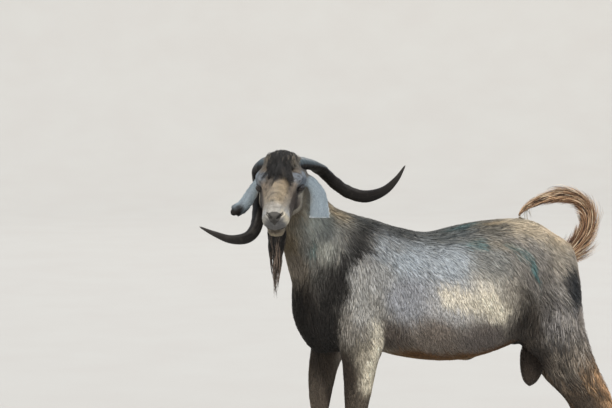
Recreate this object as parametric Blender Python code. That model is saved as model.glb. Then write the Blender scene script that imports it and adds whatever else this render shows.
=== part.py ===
"""A standing goat buck at life size, its head turned to its left and its tail carried up.

Metres, +Z up. The goat faces -X and its left side is -Y. While it is being built, X = 0 is
the middle of the trunk and Z = 0 the floor; at the end the origin moves to the middle of
the bounding box on the floor. The flesh is one body of lofted masses, remeshed together
and parted by thin cuts into head, neck, trunk and legs.
"""

import math

import bmesh
import bpy
import numpy as np
from mathutils import Matrix, Vector

# ---- driving sizes, in metres ---------------------------------------------------------
GAP = 0.0003  # left between pieces that touch
FLESH_VOXEL = 0.005
HOOF_WIDTH = 0.052  # both claws of a foot
HOOF_LENGTH = 0.074
CLAW_CLEFT = 0.004
CORONET_FRONT = 0.046  # height of the hoof at the toe
CORONET_BACK = 0.028  # and at the heel
LEG_APART = 0.100  # each leg's distance from the middle plane
FAR_FORE_REACH = -0.050  # the right fore leg stands this much further forward
FAR_HIND_REACH = 0.035  # the right hind leg stands this much further back
EYE_RADIUS = 0.0150
EAR_THICKNESS = 0.0060

# The head's own frame: its origin is midway between the eyes. "Ahead" runs to the nose.
HEAD_ORIGIN = Vector((-0.493, -0.165, 0.872))
HEAD_TURN = math.radians(70.2)  # to the goat's left, from facing -X
HEAD_DIP = math.radians(25.0)

# Triangles left in each region of the flesh
HEAD_TRIANGLES = 1800
BODY_TRIANGLES = 2800

# ---- trunk: x, top, bottom, half width, height of the widest place as a share ---------
TRUNK = [
    (-0.418, 0.585, 0.490, 0.035, 0.50),
    (-0.402, 0.650, 0.452, 0.075, 0.48),
    (-0.366, 0.750, 0.406, 0.112, 0.44),
    (-0.306, 0.797, 0.394, 0.132, 0.42),
    (-0.250, 0.784, 0.397, 0.142, 0.42),
    (-0.190, 0.768, 0.398, 0.152, 0.42),
    (-0.128, 0.746, 0.378, 0.164, 0.41),
    (-0.039, 0.726, 0.363, 0.178, 0.40),
    (0.030, 0.740, 0.360, 0.183, 0.40),
    (0.099, 0.753, 0.367, 0.180, 0.41),
    (0.160, 0.759, 0.381, 0.170, 0.44),
    (0.220, 0.761, 0.404, 0.152, 0.50),
    (0.262, 0.757, 0.440, 0.138, 0.55),
    (0.302, 0.741, 0.470, 0.128, 0.58),
    (0.340, 0.714, 0.490, 0.114, 0.58),
    (0.376, 0.696, 0.520, 0.092, 0.60),
    (0.398, 0.672, 0.560, 0.060, 0.55),
]

# ---- neck: centre, half depth (throat to crest), half width ---------------------------
NECK = [
    (-0.270, 0.000, 0.590, 0.150, 0.088),
    (-0.333, 0.000, 0.682, 0.118, 0.088),
    (-0.379, -0.010, 0.755, 0.090, 0.080),
    (-0.420, -0.030, 0.818, 0.076, 0.072),
    (-0.450, -0.058, 0.866, 0.070, 0.064),
    (-0.464, -0.080, 0.888, 0.050, 0.048),
]

# ---- head, along its own axis: ahead, top, bottom, half width, widest share -----------
SKULL = [
    (-0.136, 0.022, -0.024, 0.026, 0.50),
    (-0.112, 0.048, -0.060, 0.048, 0.50),
    (-0.080, 0.062, -0.080, 0.057, 0.52),
    (-0.045, 0.064, -0.086, 0.061, 0.54),
    (-0.012, 0.059, -0.084, 0.062, 0.56),
    (0.012, 0.054, -0.078, 0.057, 0.56),
    (0.034, 0.050, -0.071, 0.050, 0.54),
    (0.060, 0.046, -0.063, 0.045, 0.52),
    (0.090, 0.039, -0.057, 0.040, 0.48),
    (0.120, 0.030, -0.053, 0.0365, 0.46),
    (0.145, 0.021, -0.050, 0.034, 0.44),
    (0.162, 0.012, -0.042, 0.028, 0.44),
    (0.171, 0.000, -0.030, 0.017, 0.46),
]
JAW = [
    (-0.085, -0.010, -0.085, 0.030, 0.50),
    (-0.055, -0.020, -0.108, 0.042, 0.45),
    (-0.015, -0.030, -0.106, 0.040, 0.42),
    (0.040, -0.035, -0.088, 0.032, 0.42),
    (0.090, -0.035, -0.074, 0.027, 0.45),
    (0.130, -0.035, -0.069, 0.026, 0.45),
    (0.150, -0.038, -0.064, 0.022, 0.45),
    (0.160, -0.042, -0.056, 0.012, 0.50),
]

# ---- legs: height, front x, back x, distance from the middle plane, half width --------
FORE_LEG = [
    (0.640, -0.345, -0.215, 0.074, 0.045),
    (0.560, -0.350, -0.190, 0.090, 0.054),
    (0.480, -0.332, -0.180, 0.102, 0.055),
    (0.435, -0.318, -0.182, 0.107, 0.051),
    (0.390, -0.308, -0.202, 0.106, 0.045),
    (0.350, -0.304, -0.211, 0.104, 0.040),
    (0.300, -0.300, -0.222, 0.101, 0.035),
    (0.255, -0.299, -0.232, LEG_APART, 0.032),
    (0.225, -0.293, -0.238, LEG_APART, 0.028),
    (0.190, -0.286, -0.244, LEG_APART, 0.021),
    (0.140, -0.285, -0.246, LEG_APART, 0.020),
    (0.105, -0.292, -0.239, LEG_APART, 0.026),
    (0.075, -0.303, -0.251, LEG_APART, 0.023),
    (0.045, -0.322, -0.260, LEG_APART, 0.026),
    (0.012, -0.336, -0.266, LEG_APART, 0.026),
]
HIND_LEG = [
    (0.640, 0.235, 0.386, 0.078, 0.050),
    (0.560, 0.225, 0.396, 0.088, 0.066),
    (0.490, 0.222, 0.399, 0.094, 0.070),
    (0.430, 0.236, 0.409, 0.098, 0.063),
    (0.380, 0.256, 0.425, 0.100, 0.055),
    (0.327, 0.286, 0.450, LEG_APART, 0.047),
    (0.285, 0.318, 0.472, LEG_APART, 0.041),
    (0.250, 0.350, 0.488, LEG_APART, 0.036),
    (0.215, 0.386, 0.484, LEG_APART, 0.031),
    (0.180, 0.405, 0.466, LEG_APART, 0.024),
    (0.140, 0.414, 0.456, LEG_APART, 0.021),
    (0.105, 0.409, 0.462, LEG_APART, 0.026),
    (0.075, 0.399, 0.451, LEG_APART, 0.023),
    (0.045, 0.380, 0.443, LEG_APART, 0.026),
    (0.012, 0.366, 0.435, LEG_APART, 0.026),
]
FORE_TOE = -0.344  # x of the toe tip of the left fore hoof, on the floor
HIND_TOE = 0.358

# ---- tail: centre, half thickness -----------------------------------------------------
TAIL = [
    (0.366, 0.630, 0.034),
    (0.402, 0.664, 0.038),
    (0.430, 0.700, 0.036),
    (0.444, 0.738, 0.030),
    (0.438, 0.778, 0.031),
    (0.412, 0.806, 0.029),
    (0.372, 0.816, 0.027),
    (0.326, 0.812, 0.020),
    (0.286, 0.800, 0.015),
    (0.256, 0.784, 0.009),
    (0.238, 0.766, 0.003),
]
TAIL_FLATNESS = 0.80  # half width over half thickness

# ---- horns, in the head's frame: ahead, left, up, half breadth, half thickness --------
LEFT_HORN = [
    (-0.068, 0.026, 0.026, 0.027, 0.020),
    (-0.088, 0.052, 0.021, 0.027, 0.017),
    (-0.115, 0.077, 0.000, 0.027, 0.014),
    (-0.136, 0.100, -0.030, 0.026, 0.013),
    (-0.138, 0.132, -0.066, 0.023, 0.013),
    (-0.125, 0.167, -0.086, 0.021, 0.012),
    (-0.105, 0.215, -0.089, 0.019, 0.011),
    (-0.090, 0.266, -0.064, 0.013, 0.009),
    (-0.083, 0.302, -0.024, 0.008, 0.006),
    (-0.090, 0.327, 0.016, 0.002, 0.002),
]
RIGHT_HORN = [
    (-0.068, -0.026, 0.028, 0.027, 0.020),
    (-0.093, -0.054, 0.014, 0.027, 0.017),
    (-0.115, -0.074, -0.020, 0.028, 0.015),
    (-0.112, -0.074, -0.056, 0.027, 0.015),
    (-0.088, -0.073, -0.090, 0.025, 0.016),
    (-0.044, -0.071, -0.121, 0.023, 0.017),
    (-0.008, -0.077, -0.140, 0.021, 0.016),
    (0.018, -0.098, -0.150, 0.018, 0.013),
    (0.034, -0.138, -0.145, 0.013, 0.010),
    (0.038, -0.182, -0.125, 0.008, 0.006),
    (0.037, -0.219, -0.105, 0.002, 0.002),
]

TWIST_SPEED = 1.8  # the horn's twist is done at this length over this number

# ---- ears, in the head's frame: centre, across the ear, half width, bow ---------------
LEFT_EAR = [
    ((-0.070, 0.046, 0.004), (-0.70, 0.60, 0.30), 0.012, 0.20),
    ((-0.056, 0.076, -0.018), (-0.60, 0.75, 0.20), 0.018, 0.35),
    ((-0.040, 0.093, -0.042), (-0.40, 0.90, 0.08), 0.024, 0.25),
    ((-0.020, 0.099, -0.068), (-0.30, 0.95, 0.00), 0.027, 0.20),
    ((0.002, 0.101, -0.096), (-0.26, 0.97, -0.06), 0.030, 0.16),
]
RIGHT_EAR = [
    ((-0.068, -0.046, 0.006), (0.70, 0.60, -0.30), 0.012, 0.20),
    ((-0.044, -0.070, -0.022), (0.60, 0.62, -0.50), 0.016, 0.50),
    ((-0.025, -0.088, -0.045), (0.45, 0.75, -0.48), 0.018, 0.70),
    ((-0.006, -0.100, -0.060), (0.35, 0.74, -0.56), 0.019, 0.95),
    ((0.018, -0.124, -0.069), (0.30, 0.55, -0.76), 0.018, 1.20),
]

# ---- beard, hanging straight down from the chin: drop, half width, half depth ---------
BEARD_ROOT = (0.128, 0.0, -0.052)
BEARD = [
    (0.000, 0.026, 0.026),
    (0.022, 0.027, 0.024),
    (0.052, 0.022, 0.018),
    (0.088, 0.015, 0.012),
    (0.122, 0.010, 0.008),
    (0.156, 0.005, 0.005),
    (0.188, 0.002, 0.002),
]

# ---- scrotum: height, front x, back x, half width -------------------------------------
SCROTUM = [
    (0.440, 0.262, 0.318, 0.026),
    (0.400, 0.252, 0.320, 0.030),
    (0.365, 0.245, 0.320, 0.040),
    (0.330, 0.247, 0.314, 0.044),
    (0.300, 0.253, 0.300, 0.036),
    (0.284, 0.260, 0.286, 0.022),
    (0.277, 0.268, 0.276, 0.006),
]


# ---- small tools ----------------------------------------------------------------------
def head_axes():
    """The head's ahead, left and up directions."""
    flat = Vector((-math.cos(HEAD_TURN), -math.sin(HEAD_TURN), 0.0))
    ahead = flat * math.cos(HEAD_DIP) - Vector((0, 0, 1)) * math.sin(HEAD_DIP)
    up = flat * math.sin(HEAD_DIP) + Vector((0, 0, 1)) * math.cos(HEAD_DIP)
    return ahead, up.cross(ahead), up


AHEAD, LEFT, UP = head_axes()


def on_head(place):
    """A point of the head's frame, in the goat's."""
    return HEAD_ORIGIN + AHEAD * place[0] + LEFT * place[1] + UP * place[2]


def resample(rows, count):
    """Rows along a smooth curve through the given ones."""
    rows = np.asarray(rows, float)
    padded = np.vstack([2 * rows[0] - rows[1], rows, 2 * rows[-1] - rows[-2]])
    result = []
    for place in np.linspace(0, len(rows) - 1, count):
        index = min(int(place), len(rows) - 2)
        t = place - index
        a, b, c, d = padded[index : index + 4]
        slope = (c - a) * t
        bend = (2 * a - 5 * b + 4 * c - d) * t**2
        twist = (3 * b - a - 3 * c + d) * t**3
        result.append(b + 0.5 * (slope + bend + twist))
    return np.array(result)


def oval(centre, across, up, half_width, above, below, sides):
    """A ring round centre, as wide as half_width and reaching above and below it."""
    centre, across, up = Vector(centre), Vector(across), Vector(up)
    ring = []
    for turn in np.linspace(0, 2 * math.pi, sides, endpoint=False):
        rise = math.sin(turn)
        reach = above if rise > 0 else below
        ring.append(centre + across * half_width * math.cos(turn) + up * reach * rise)
    return ring


def mesh_object(name, bm):
    bmesh.ops.recalc_face_normals(bm, faces=bm.faces)
    if bm.calc_volume(signed=True) < 0:
        bmesh.ops.reverse_faces(bm, faces=bm.faces)
    mesh = bpy.data.meshes.new(name)
    bm.to_mesh(mesh)
    bm.free()
    made = bpy.data.objects.new(name, mesh)
    bpy.context.scene.collection.objects.link(made)
    return made


def loft(name, rings):
    """A closed body through rings that have the same number of points."""
    bm = bmesh.new()
    loops = [[bm.verts.new(point) for point in ring] for ring in rings]
    count = len(loops[0])
    for near, far in zip(loops, loops[1:]):
        for k in range(count):
            after = (k + 1) % count
            bm.faces.new((near[k], near[after], far[after], far[k]))
    bm.faces.new(loops[0])
    bm.faces.new(loops[-1])
    return mesh_object(name, bm)


def mass(name, centre, axes, halves):
    """An ellipsoid: a muscle or a rounded bone."""
    bm = bmesh.new()
    bmesh.ops.create_icosphere(bm, subdivisions=3, radius=1.0)
    for vertex in bm.verts:
        x, y, z = vertex.co
        vertex.co = (
            Vector(centre)
            + Vector(axes[0]) * halves[0] * x
            + Vector(axes[1]) * halves[1] * y
            + Vector(axes[2]) * halves[2] * z
        )
    return mesh_object(name, bm)


def head_mass(place, halves):
    return mass("mass", on_head(place), (AHEAD, LEFT, UP), halves)


def body_mass(place, halves, lean=0.0):
    """An ellipsoid whose long axis leans forward of upright by lean degrees."""
    angle = math.radians(lean)
    along = Vector((-math.sin(angle), 0, math.cos(angle)))
    ahead = Vector((math.cos(angle), 0, math.sin(angle)))
    return mass("mass", place, (ahead, (0, 1, 0), along), halves)


def remove(thing):
    mesh = thing.data
    bpy.data.objects.remove(thing)
    bpy.data.meshes.remove(mesh)


def settle(thing):
    """Replaces the object's mesh by its mesh with every modifier worked in."""
    graph = bpy.context.evaluated_depsgraph_get()
    mesh = bpy.data.meshes.new_from_object(thing.evaluated_get(graph))
    thing.modifiers.clear()
    old, thing.data = thing.data, mesh
    mesh.name = thing.name
    bpy.data.meshes.remove(old)


def smoothed(thing, factor, iterations):
    smooth = thing.modifiers.new("smooth", "SMOOTH")
    smooth.factor = factor
    smooth.iterations = iterations
    settle(thing)


def join(name, things):
    bm = bmesh.new()
    for thing in things:
        bm.from_mesh(thing.data)
        remove(thing)
    mesh = bpy.data.meshes.new(name)
    bm.to_mesh(mesh)
    bm.free()
    made = bpy.data.objects.new(name, mesh)
    bpy.context.scene.collection.objects.link(made)
    return made


def cut(thing, cutter, keep_cutter=False):
    """Takes the cutter's space out of the object."""
    cutter.hide_render = True
    cutter.display_type = "WIRE"
    boolean = thing.modifiers.new("cut", "BOOLEAN")
    boolean.operation = "DIFFERENCE"
    boolean.solver = "EXACT"
    boolean.object = cutter
    settle(thing)
    if not keep_cutter:
        remove(cutter)


def inflated(thing):
    """A copy that reaches a little over one gap further out all round."""
    mesh = thing.data.copy()
    points = np.empty(len(mesh.vertices) * 3, np.float32)
    normals = np.empty(len(mesh.vertices) * 3, np.float32)
    mesh.vertices.foreach_get("co", points)
    mesh.vertex_normals.foreach_get("vector", normals)
    mesh.vertices.foreach_set("co", points + normals * GAP * 1.6)
    made = bpy.data.objects.new("inflated", mesh)
    bpy.context.scene.collection.objects.link(made)
    return made


def slab(centre, normal, along, length, width, thickness=GAP):
    """A thin box in the plane with this normal, length along one way and width across it."""
    normal = Vector(normal).normalized()
    along = (Vector(along) - normal * Vector(along).dot(normal)).normalized()
    across = normal.cross(along)
    bm = bmesh.new()
    bmesh.ops.create_cube(bm, size=1.0)
    turn = Matrix((along * length, across * width, normal * thickness)).transposed()
    bmesh.ops.transform(bm, verts=bm.verts, matrix=turn.to_4x4())
    bmesh.ops.translate(bm, verts=bm.verts, vec=Vector(centre))
    return mesh_object("slab", bm)


# ---- the flesh ------------------------------------------------------------------------
def trunk_masses():
    rings = []
    for x, top, bottom, half, share in resample(TRUNK, 44):
        middle = bottom + share * (top - bottom)
        centre = (x, 0, middle)
        rings.append(oval(centre, (0, 1, 0), (0, 0, 1), half, top - middle, middle - bottom, 28))
    masses = [loft("trunk", rings)]
    masses.append(body_mass((-0.345, 0, 0.455), (0.050, 0.075, 0.065), 20))  # brisket
    masses.append(body_mass((0.082, 0, 0.366), (0.034, 0.013, 0.013)))  # sheath
    for side in (-1, 1):
        masses.append(body_mass((-0.292, side * 0.085, 0.645), (0.068, 0.044, 0.120), 24))
        masses.append(body_mass((-0.366, side * 0.070, 0.560), (0.038, 0.044, 0.075)))
        masses.append(body_mass((0.262, side * 0.080, 0.678), (0.065, 0.038, 0.036), 60))
        masses.append(body_mass((0.362, side * 0.050, 0.600), (0.034, 0.042, 0.080)))
        masses.append(body_mass((0.268, side * 0.088, 0.450), (0.045, 0.045, 0.075), -20))
    return masses


def neck_masses():
    rows = resample(NECK, 20)
    spine = rows[:, :3]
    rings = []
    for index, (x, y, z, depth, half) in enumerate(rows):
        before = spine[max(index - 1, 0)]
        after = spine[min(index + 1, len(rows) - 1)]
        along = Vector(after - before).normalized()
        turned = index / (len(rows) - 1) * 0.55 * HEAD_TURN
        across = Matrix.Rotation(turned, 3, "Z") @ Vector((0, -1, 0))
        crest = along.cross(across).normalized()
        if crest.x < 0:
            crest = -crest
        rings.append(oval((x, y, z), across, crest, half, depth, depth, 24))
    return [loft("neck", rings)]


def head_loft(rows, count):
    rings = []
    for ahead, top, bottom, half, share in resample(rows, count):
        middle = bottom + share * (top - bottom)
        centre = on_head((ahead, 0, middle))
        rings.append(oval(centre, LEFT, UP, half, top - middle, middle - bottom, 24))
    return loft("head", rings)


def head_masses():
    masses = [head_loft(SKULL, 34), head_loft(JAW, 24)]
    masses.append(head_mass((-0.056, 0, 0.040), (0.050, 0.043, 0.032)))  # forelock
    masses.append(head_mass((0.060, 0, 0.022), (0.075, 0.028, 0.028)))  # nose bridge
    masses.append(head_mass((0.160, 0, -0.002), (0.015, 0.026, 0.018)))  # nose pad
    masses.append(head_mass((0.146, 0, -0.057), (0.018, 0.023, 0.013)))  # lower lip
    for side in (-1, 1):
        masses.append(head_mass((-0.014, side * 0.049, 0.013), (0.028, 0.021, 0.026)))
        masses.append(head_mass((0.006, side * 0.040, 0.026), (0.034, 0.022, 0.018)))
        masses.append(head_mass((0.012, side * 0.041, -0.030), (0.056, 0.017, 0.018)))
        masses.append(head_mass((-0.036, side * 0.036, -0.060), (0.048, 0.021, 0.040)))
        masses.append(head_mass((-0.068, side * 0.050, -0.002), (0.024, 0.018, 0.022)))
        masses.append(head_mass((0.140, side * 0.020, -0.018), (0.026, 0.017, 0.022)))
        masses.append(head_mass((-0.072, side * 0.028, 0.036), (0.028, 0.024, 0.026)))
    return masses


def leg(rows, side, reach):
    """One leg. reach moves the foot fore or aft and fades out towards the body."""
    rings = []
    for height, front, back, apart, half in resample(rows, 48):
        share = min(max((0.52 - height) / 0.22, 0.0), 1.0)
        shift = reach * share * share * (3 - 2 * share)
        centre = ((front + back) / 2 + shift, side * apart, height)
        length = (back - front) / 2
        rings.append(oval(centre, (1, 0, 0), (0, 1, 0), length, half, half, 20))
    return loft("leg", rings)


def reduce(thing, inside, triangles):
    """Thins the faces of one region down to this many triangles and leaves the rest."""
    mesh = thing.data
    mesh.calc_loop_triangles()
    group = thing.vertex_groups.new(name="region")
    chosen = [vertex.index for vertex in mesh.vertices if inside(vertex.co)]
    group.add(chosen, 1.0, "REPLACE")
    is_chosen = np.zeros(len(mesh.vertices), bool)
    is_chosen[chosen] = True
    corners = np.array([triangle.vertices[:] for triangle in mesh.loop_triangles])
    region = int(is_chosen[corners].all(axis=1).sum())
    total = len(corners)
    modifier = thing.modifiers.new("thin", "DECIMATE")
    modifier.vertex_group = "region"
    modifier.ratio = (total - region + triangles) / total
    settle(thing)
    thing.vertex_groups.clear()


def is_head(point):
    return (point - HEAD_CUT).dot(HEAD_CUT_NORMAL) > 0.0 and point.z > 0.65


# The planes of the cuts. Each normal points away from the trunk.
HEAD_CUT = on_head((-0.098, 0, -0.035))
HEAD_CUT_NORMAL = (AHEAD * 0.90 + UP * 0.42).normalized()
NECK_CUT = Vector((-0.345, 0, 0.690))
NECK_CUT_NORMAL = Vector((-0.66, 0, 0.75)).normalized()
FORE_CUT = Vector((-0.270, 0.112, 0.427))  # mirrored for the other side
FORE_CUT_RISE = (-0.25, 0.58)  # rise of the cut backwards and outwards
HIND_CUT = Vector((0.335, 0.098, 0.447))
HIND_CUT_RISE = (0.50, 0.50)


def flesh():
    """The whole body without ears, horns, eyes, hooves, beard, tail and scrotum."""
    masses = trunk_masses() + neck_masses() + head_masses()
    masses.append(leg(FORE_LEG, -1, 0.0))
    masses.append(leg(FORE_LEG, 1, FAR_FORE_REACH))
    masses.append(leg(HIND_LEG, -1, 0.0))
    masses.append(leg(HIND_LEG, 1, FAR_HIND_REACH))
    body = join("flesh", masses)
    remesh = body.modifiers.new("remesh", "REMESH")
    remesh.mode = "VOXEL"
    remesh.voxel_size = FLESH_VOXEL
    smoothed(body, 0.5, 7)
    reduce(body, is_head, HEAD_TRIANGLES)
    reduce(body, lambda point: not is_head(point), BODY_TRIANGLES)
    smoothed(body, 0.35, 2)
    return body


def coronet_box(side, toe, reach):
    """The space under the slanted plane where a foot's hoof begins."""
    slope = math.atan2(CORONET_FRONT - CORONET_BACK, HOOF_LENGTH)
    normal = Vector((math.sin(slope), 0, math.cos(slope)))
    middle = Vector(
        (toe + reach + HOOF_LENGTH / 2, side * LEG_APART, (CORONET_FRONT + CORONET_BACK) / 2)
    )
    depth = 0.10
    return slab(middle - normal * depth / 2, normal, (1, 0, 0), 0.16, 0.12, depth)


def split(body, names):
    """Parts the largest loose pieces of the body, each named by the nearest place."""
    bm = bmesh.new()
    bm.from_mesh(body.data)
    bm.verts.ensure_lookup_table()
    left = set(bm.verts)
    pieces = []
    while left:
        front = [left.pop()]
        piece = set(front)
        while front:
            for edge in front.pop().link_edges:
                for vertex in edge.verts:
                    if vertex in left:
                        left.remove(vertex)
                        piece.add(vertex)
                        front.append(vertex)
        pieces.append(piece)
    body.name = "whole"
    made = {}
    for piece in sorted(pieces, key=len, reverse=True)[: len(names)]:
        middle = sum((vertex.co for vertex in piece), Vector()) / len(piece)
        name = min(names, key=lambda key: (names[key] - middle).length)
        part = bmesh.new()
        copies = {vertex: part.verts.new(vertex.co) for vertex in piece}
        for face in bm.faces:
            if face.verts[0] in piece:
                part.faces.new([copies[vertex] for vertex in face.verts])
        made[name] = mesh_object(name, part)
    bm.free()
    remove(body)
    return made


def leg_slab(place, rise, side, length, width):
    """The thin cut between a leg and the trunk, rising backwards and outwards."""
    centre = (place.x, side * place.y, place.z)
    normal = (-rise[0], -side * rise[1], 1.0)
    return slab(centre, normal, (1, 0, 0), length, width)


def flesh_nodes():
    body = flesh()
    cut(body, coronet_box(-1, FORE_TOE, 0.0))
    cut(body, coronet_box(1, FORE_TOE, FAR_FORE_REACH))
    cut(body, coronet_box(-1, HIND_TOE, 0.0))
    cut(body, coronet_box(1, HIND_TOE, FAR_HIND_REACH))
    cut(body, slab(HEAD_CUT, HEAD_CUT_NORMAL, LEFT, 0.30, 0.30))
    cut(body, slab(NECK_CUT, NECK_CUT_NORMAL, (0, 1, 0), 0.50, 0.50))
    for side in (-1, 1):
        cut(body, leg_slab(FORE_CUT, FORE_CUT_RISE, side, 0.22, 0.150))
        cut(body, leg_slab(HIND_CUT, HIND_CUT_RISE, side, 0.36, 0.205))
    names = {
        "trunk": Vector((0.0, 0, 0.58)),
        "neck": Vector((-0.40, -0.03, 0.80)),
        "head": on_head((0.02, 0, 0)),
        "leg_fore_left": Vector((-0.27, -0.10, 0.22)),
        "leg_fore_right": Vector((-0.31, 0.10, 0.22)),
        "leg_hind_left": Vector((0.40, -0.10, 0.26)),
        "leg_hind_right": Vector((0.43, 0.10, 0.26)),
    }
    return split(body, names)


# ---- what the flesh carries -----------------------------------------------------------
def horn(name, rows, broad_root, broad_tip):
    """A flattened, twisting horn. Its broad side turns from broad_root to broad_tip."""
    rows = resample(rows, 17)
    spine = [on_head(row[:3]) for row in rows]
    rings = []
    for index, (point, row) in enumerate(zip(spine, rows)):
        before = spine[max(index - 1, 0)]
        after = spine[min(index + 1, len(spine) - 1)]
        along = (after - before).normalized()
        share = min(TWIST_SPEED * index / (len(rows) - 1), 1.0)
        guide = Vector(broad_root) * (1 - share) + Vector(broad_tip) * share
        guide = AHEAD * guide.x + LEFT * guide.y + UP * guide.z
        broad = (guide - along * guide.dot(along)).normalized()
        thin = along.cross(broad)
        rings.append(oval(point, broad, thin, row[3], row[4], row[4], 10))
    return loft(name, rings)


def ear(name, rows):
    """A hanging ear: a slab bowed across its width, cut square at the end."""
    numbers = [(*place, *across, half, bow) for place, across, half, bow in rows]
    rows = resample(numbers, 9)
    centres = [on_head(row[:3]) for row in rows]
    rings = []
    for index, row in enumerate(rows):
        before = centres[max(index - 1, 0)]
        after = centres[min(index + 1, len(rows) - 1)]
        along = (after - before).normalized()
        across = AHEAD * row[3] + LEFT * row[4] + UP * row[5]
        across = (across - along * across.dot(along)).normalized()
        out = along.cross(across)
        ring = []
        for turn in np.linspace(0, 2 * math.pi, 14, endpoint=False):
            sideways = math.cos(turn)
            thick = math.sin(turn) * EAR_THICKNESS / 2 * (1.15 - 0.45 * sideways**2)
            bend = row[7] * row[6] * (0.5 - sideways**2)
            ring.append(centres[index] + across * sideways * row[6] + out * (bend + thick))
        rings.append(ring)
    return loft(name, rings)


def tail():
    rows = resample(TAIL, 16)
    rings = []
    for index, (x, z, half) in enumerate(rows):
        before = rows[max(index - 1, 0)]
        after = rows[min(index + 1, len(rows) - 1)]
        along = Vector((after[0] - before[0], 0, after[1] - before[1])).normalized()
        outward = Vector((-along.z, 0, along.x))
        rings.append(oval((x, 0, z), (0, 1, 0), outward, half * TAIL_FLATNESS, half, half, 10))
    return loft("tail", rings)


def beard():
    root = on_head(BEARD_ROOT)
    level = Vector((LEFT.x, LEFT.y, 0)).normalized()
    fore = Vector((-level.y, level.x, 0))
    rings = []
    for drop, half, depth in resample(BEARD, 9):
        centre = root - Vector((0, 0, drop))
        rings.append(oval(centre, level, fore, half, depth, depth, 8))
    return loft("beard", rings)


def scrotum():
    rings = []
    for height, front, back, half in resample(SCROTUM, 10):
        centre = ((front + back) / 2, 0, height)
        rings.append(oval(centre, (1, 0, 0), (0, 1, 0), (back - front) / 2, half, half, 12))
    return loft("scrotum", rings)


def claw(name, side, toe, reach, inner):
    """One of the two claws of a foot. inner is 1 for the one nearer the middle plane."""
    slope = (CORONET_FRONT - CORONET_BACK) / HOOF_LENGTH
    width = (HOOF_WIDTH - CLAW_CLEFT) / 2
    rings = []
    for height, draw in ((0.0, 0.0), (1.0, 1.0)):
        ring = []
        for turn in np.linspace(0, 2 * math.pi, 12, endpoint=False):
            ahead = (1 - math.cos(turn)) / 2  # 0 at the toe, 1 at the heel
            pinch = 0.42 + 0.58 * min(ahead / 0.45, 1.0) ** 0.7
            sideways = math.sin(turn) * pinch
            x = ahead * (HOOF_LENGTH - 0.010 * draw) + 0.012 * draw
            top = CORONET_FRONT - slope * x - GAP
            ring.append((x, sideways * width / 2, top * height))
        rings.append(ring)
    centre = side * (LEG_APART - inner * (width + CLAW_CLEFT) / 2)
    placed = [[Vector((x + toe + reach, y + centre, z)) for x, y, z in ring] for ring in rings]
    return loft(name, placed)


def claws():
    feet = {
        "fore_left": (-1, FORE_TOE, 0.0),
        "fore_right": (1, FORE_TOE, FAR_FORE_REACH),
        "hind_left": (-1, HIND_TOE, 0.0),
        "hind_right": (1, HIND_TOE, FAR_HIND_REACH),
    }
    made = {}
    for foot, (side, toe, reach) in feet.items():
        for word, inner in (("outer", -1), ("inner", 1)):
            name = f"claw_{foot}_{word}"
            made[name] = claw(name, side, toe, reach, inner)
    return made


def eye(name, side):
    bm = bmesh.new()
    bmesh.ops.create_uvsphere(bm, u_segments=12, v_segments=8, radius=EYE_RADIUS)
    bmesh.ops.translate(bm, verts=bm.verts, vec=on_head((0.010, side * 0.0485, 0.000)))
    return mesh_object(name, bm)


# ---- finish ---------------------------------------------------------------------------
def painted(thing, colour, roughness):
    material = bpy.data.materials.new(thing.name)
    material.use_nodes = True
    shader = material.node_tree.nodes["Principled BSDF"]
    shader.inputs["Base Color"].default_value = (*colour, 1.0)
    shader.inputs["Roughness"].default_value = roughness
    thing.data.materials.clear()
    thing.data.materials.append(material)
    thing.data.shade_smooth()


FUR_GREY = (0.26, 0.24, 0.21)
FUR_DARK = (0.06, 0.05, 0.045)
FUR_BROWN = (0.16, 0.10, 0.06)
EAR_GREY = (0.42, 0.46, 0.52)
HORN_BLACK = (0.03, 0.03, 0.035)
EYE_AMBER = (0.20, 0.12, 0.03)


def colour_of(name):
    if name.startswith(("horn", "claw")):
        return HORN_BLACK, 0.45
    if name.startswith("ear"):
        return EAR_GREY, 0.80
    if name.startswith("eye"):
        return EYE_AMBER, 0.10
    if name.startswith(("beard", "scrotum")):
        return FUR_DARK, 0.90
    if name.startswith(("leg", "tail")):
        return FUR_BROWN, 0.90
    return FUR_GREY, 0.90


def move_origin(nodes):
    """Puts the middle of the bounding box, on the floor, at the origin."""
    points = np.array([vertex.co[:] for thing in nodes for vertex in thing.data.vertices])
    low, high = points.min(axis=0), points.max(axis=0)
    shift = Matrix.Translation((-(low[0] + high[0]) / 2, -(low[1] + high[1]) / 2, -low[2]))
    for thing in nodes:
        thing.data.transform(shift)


def clear_scene():
    for thing in list(bpy.data.objects):
        bpy.data.objects.remove(thing)


def main():
    clear_scene()
    nodes = flesh_nodes()
    head, neck, trunk = nodes["head"], nodes["neck"], nodes["trunk"]
    for word, side in (("left", 1), ("right", -1)):
        name = f"eye_{word}"
        nodes[name] = eye(name, side)
        cut(head, inflated(nodes[name]))
    horn_left = horn("horn_left", LEFT_HORN, (1.0, 0.0, 0.1), (0.0, -0.2, 1.0))
    horn_right = horn("horn_right", RIGHT_HORN, (1.0, 0.0, 0.1), (0.2, 0.0, 1.0))
    ears = (ear("ear_left", LEFT_EAR), ear("ear_right", RIGHT_EAR))
    carried = {
        horn_left: (head, neck),
        horn_right: (head, neck),
        ears[0]: (head, neck),
        ears[1]: (head, neck),
        beard(): (head,),
        tail(): (trunk,),
        scrotum(): (trunk, nodes["leg_hind_left"], nodes["leg_hind_right"]),
    }
    for thing, neighbours in carried.items():
        name = thing.name
        for neighbour in neighbours:
            cut(thing, inflated(neighbour))
        nodes.update(split(thing, {name: Vector()}))
    nodes.update(claws())
    for name, thing in nodes.items():
        painted(thing, *colour_of(name))
    move_origin(list(nodes.values()))


main()
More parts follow.
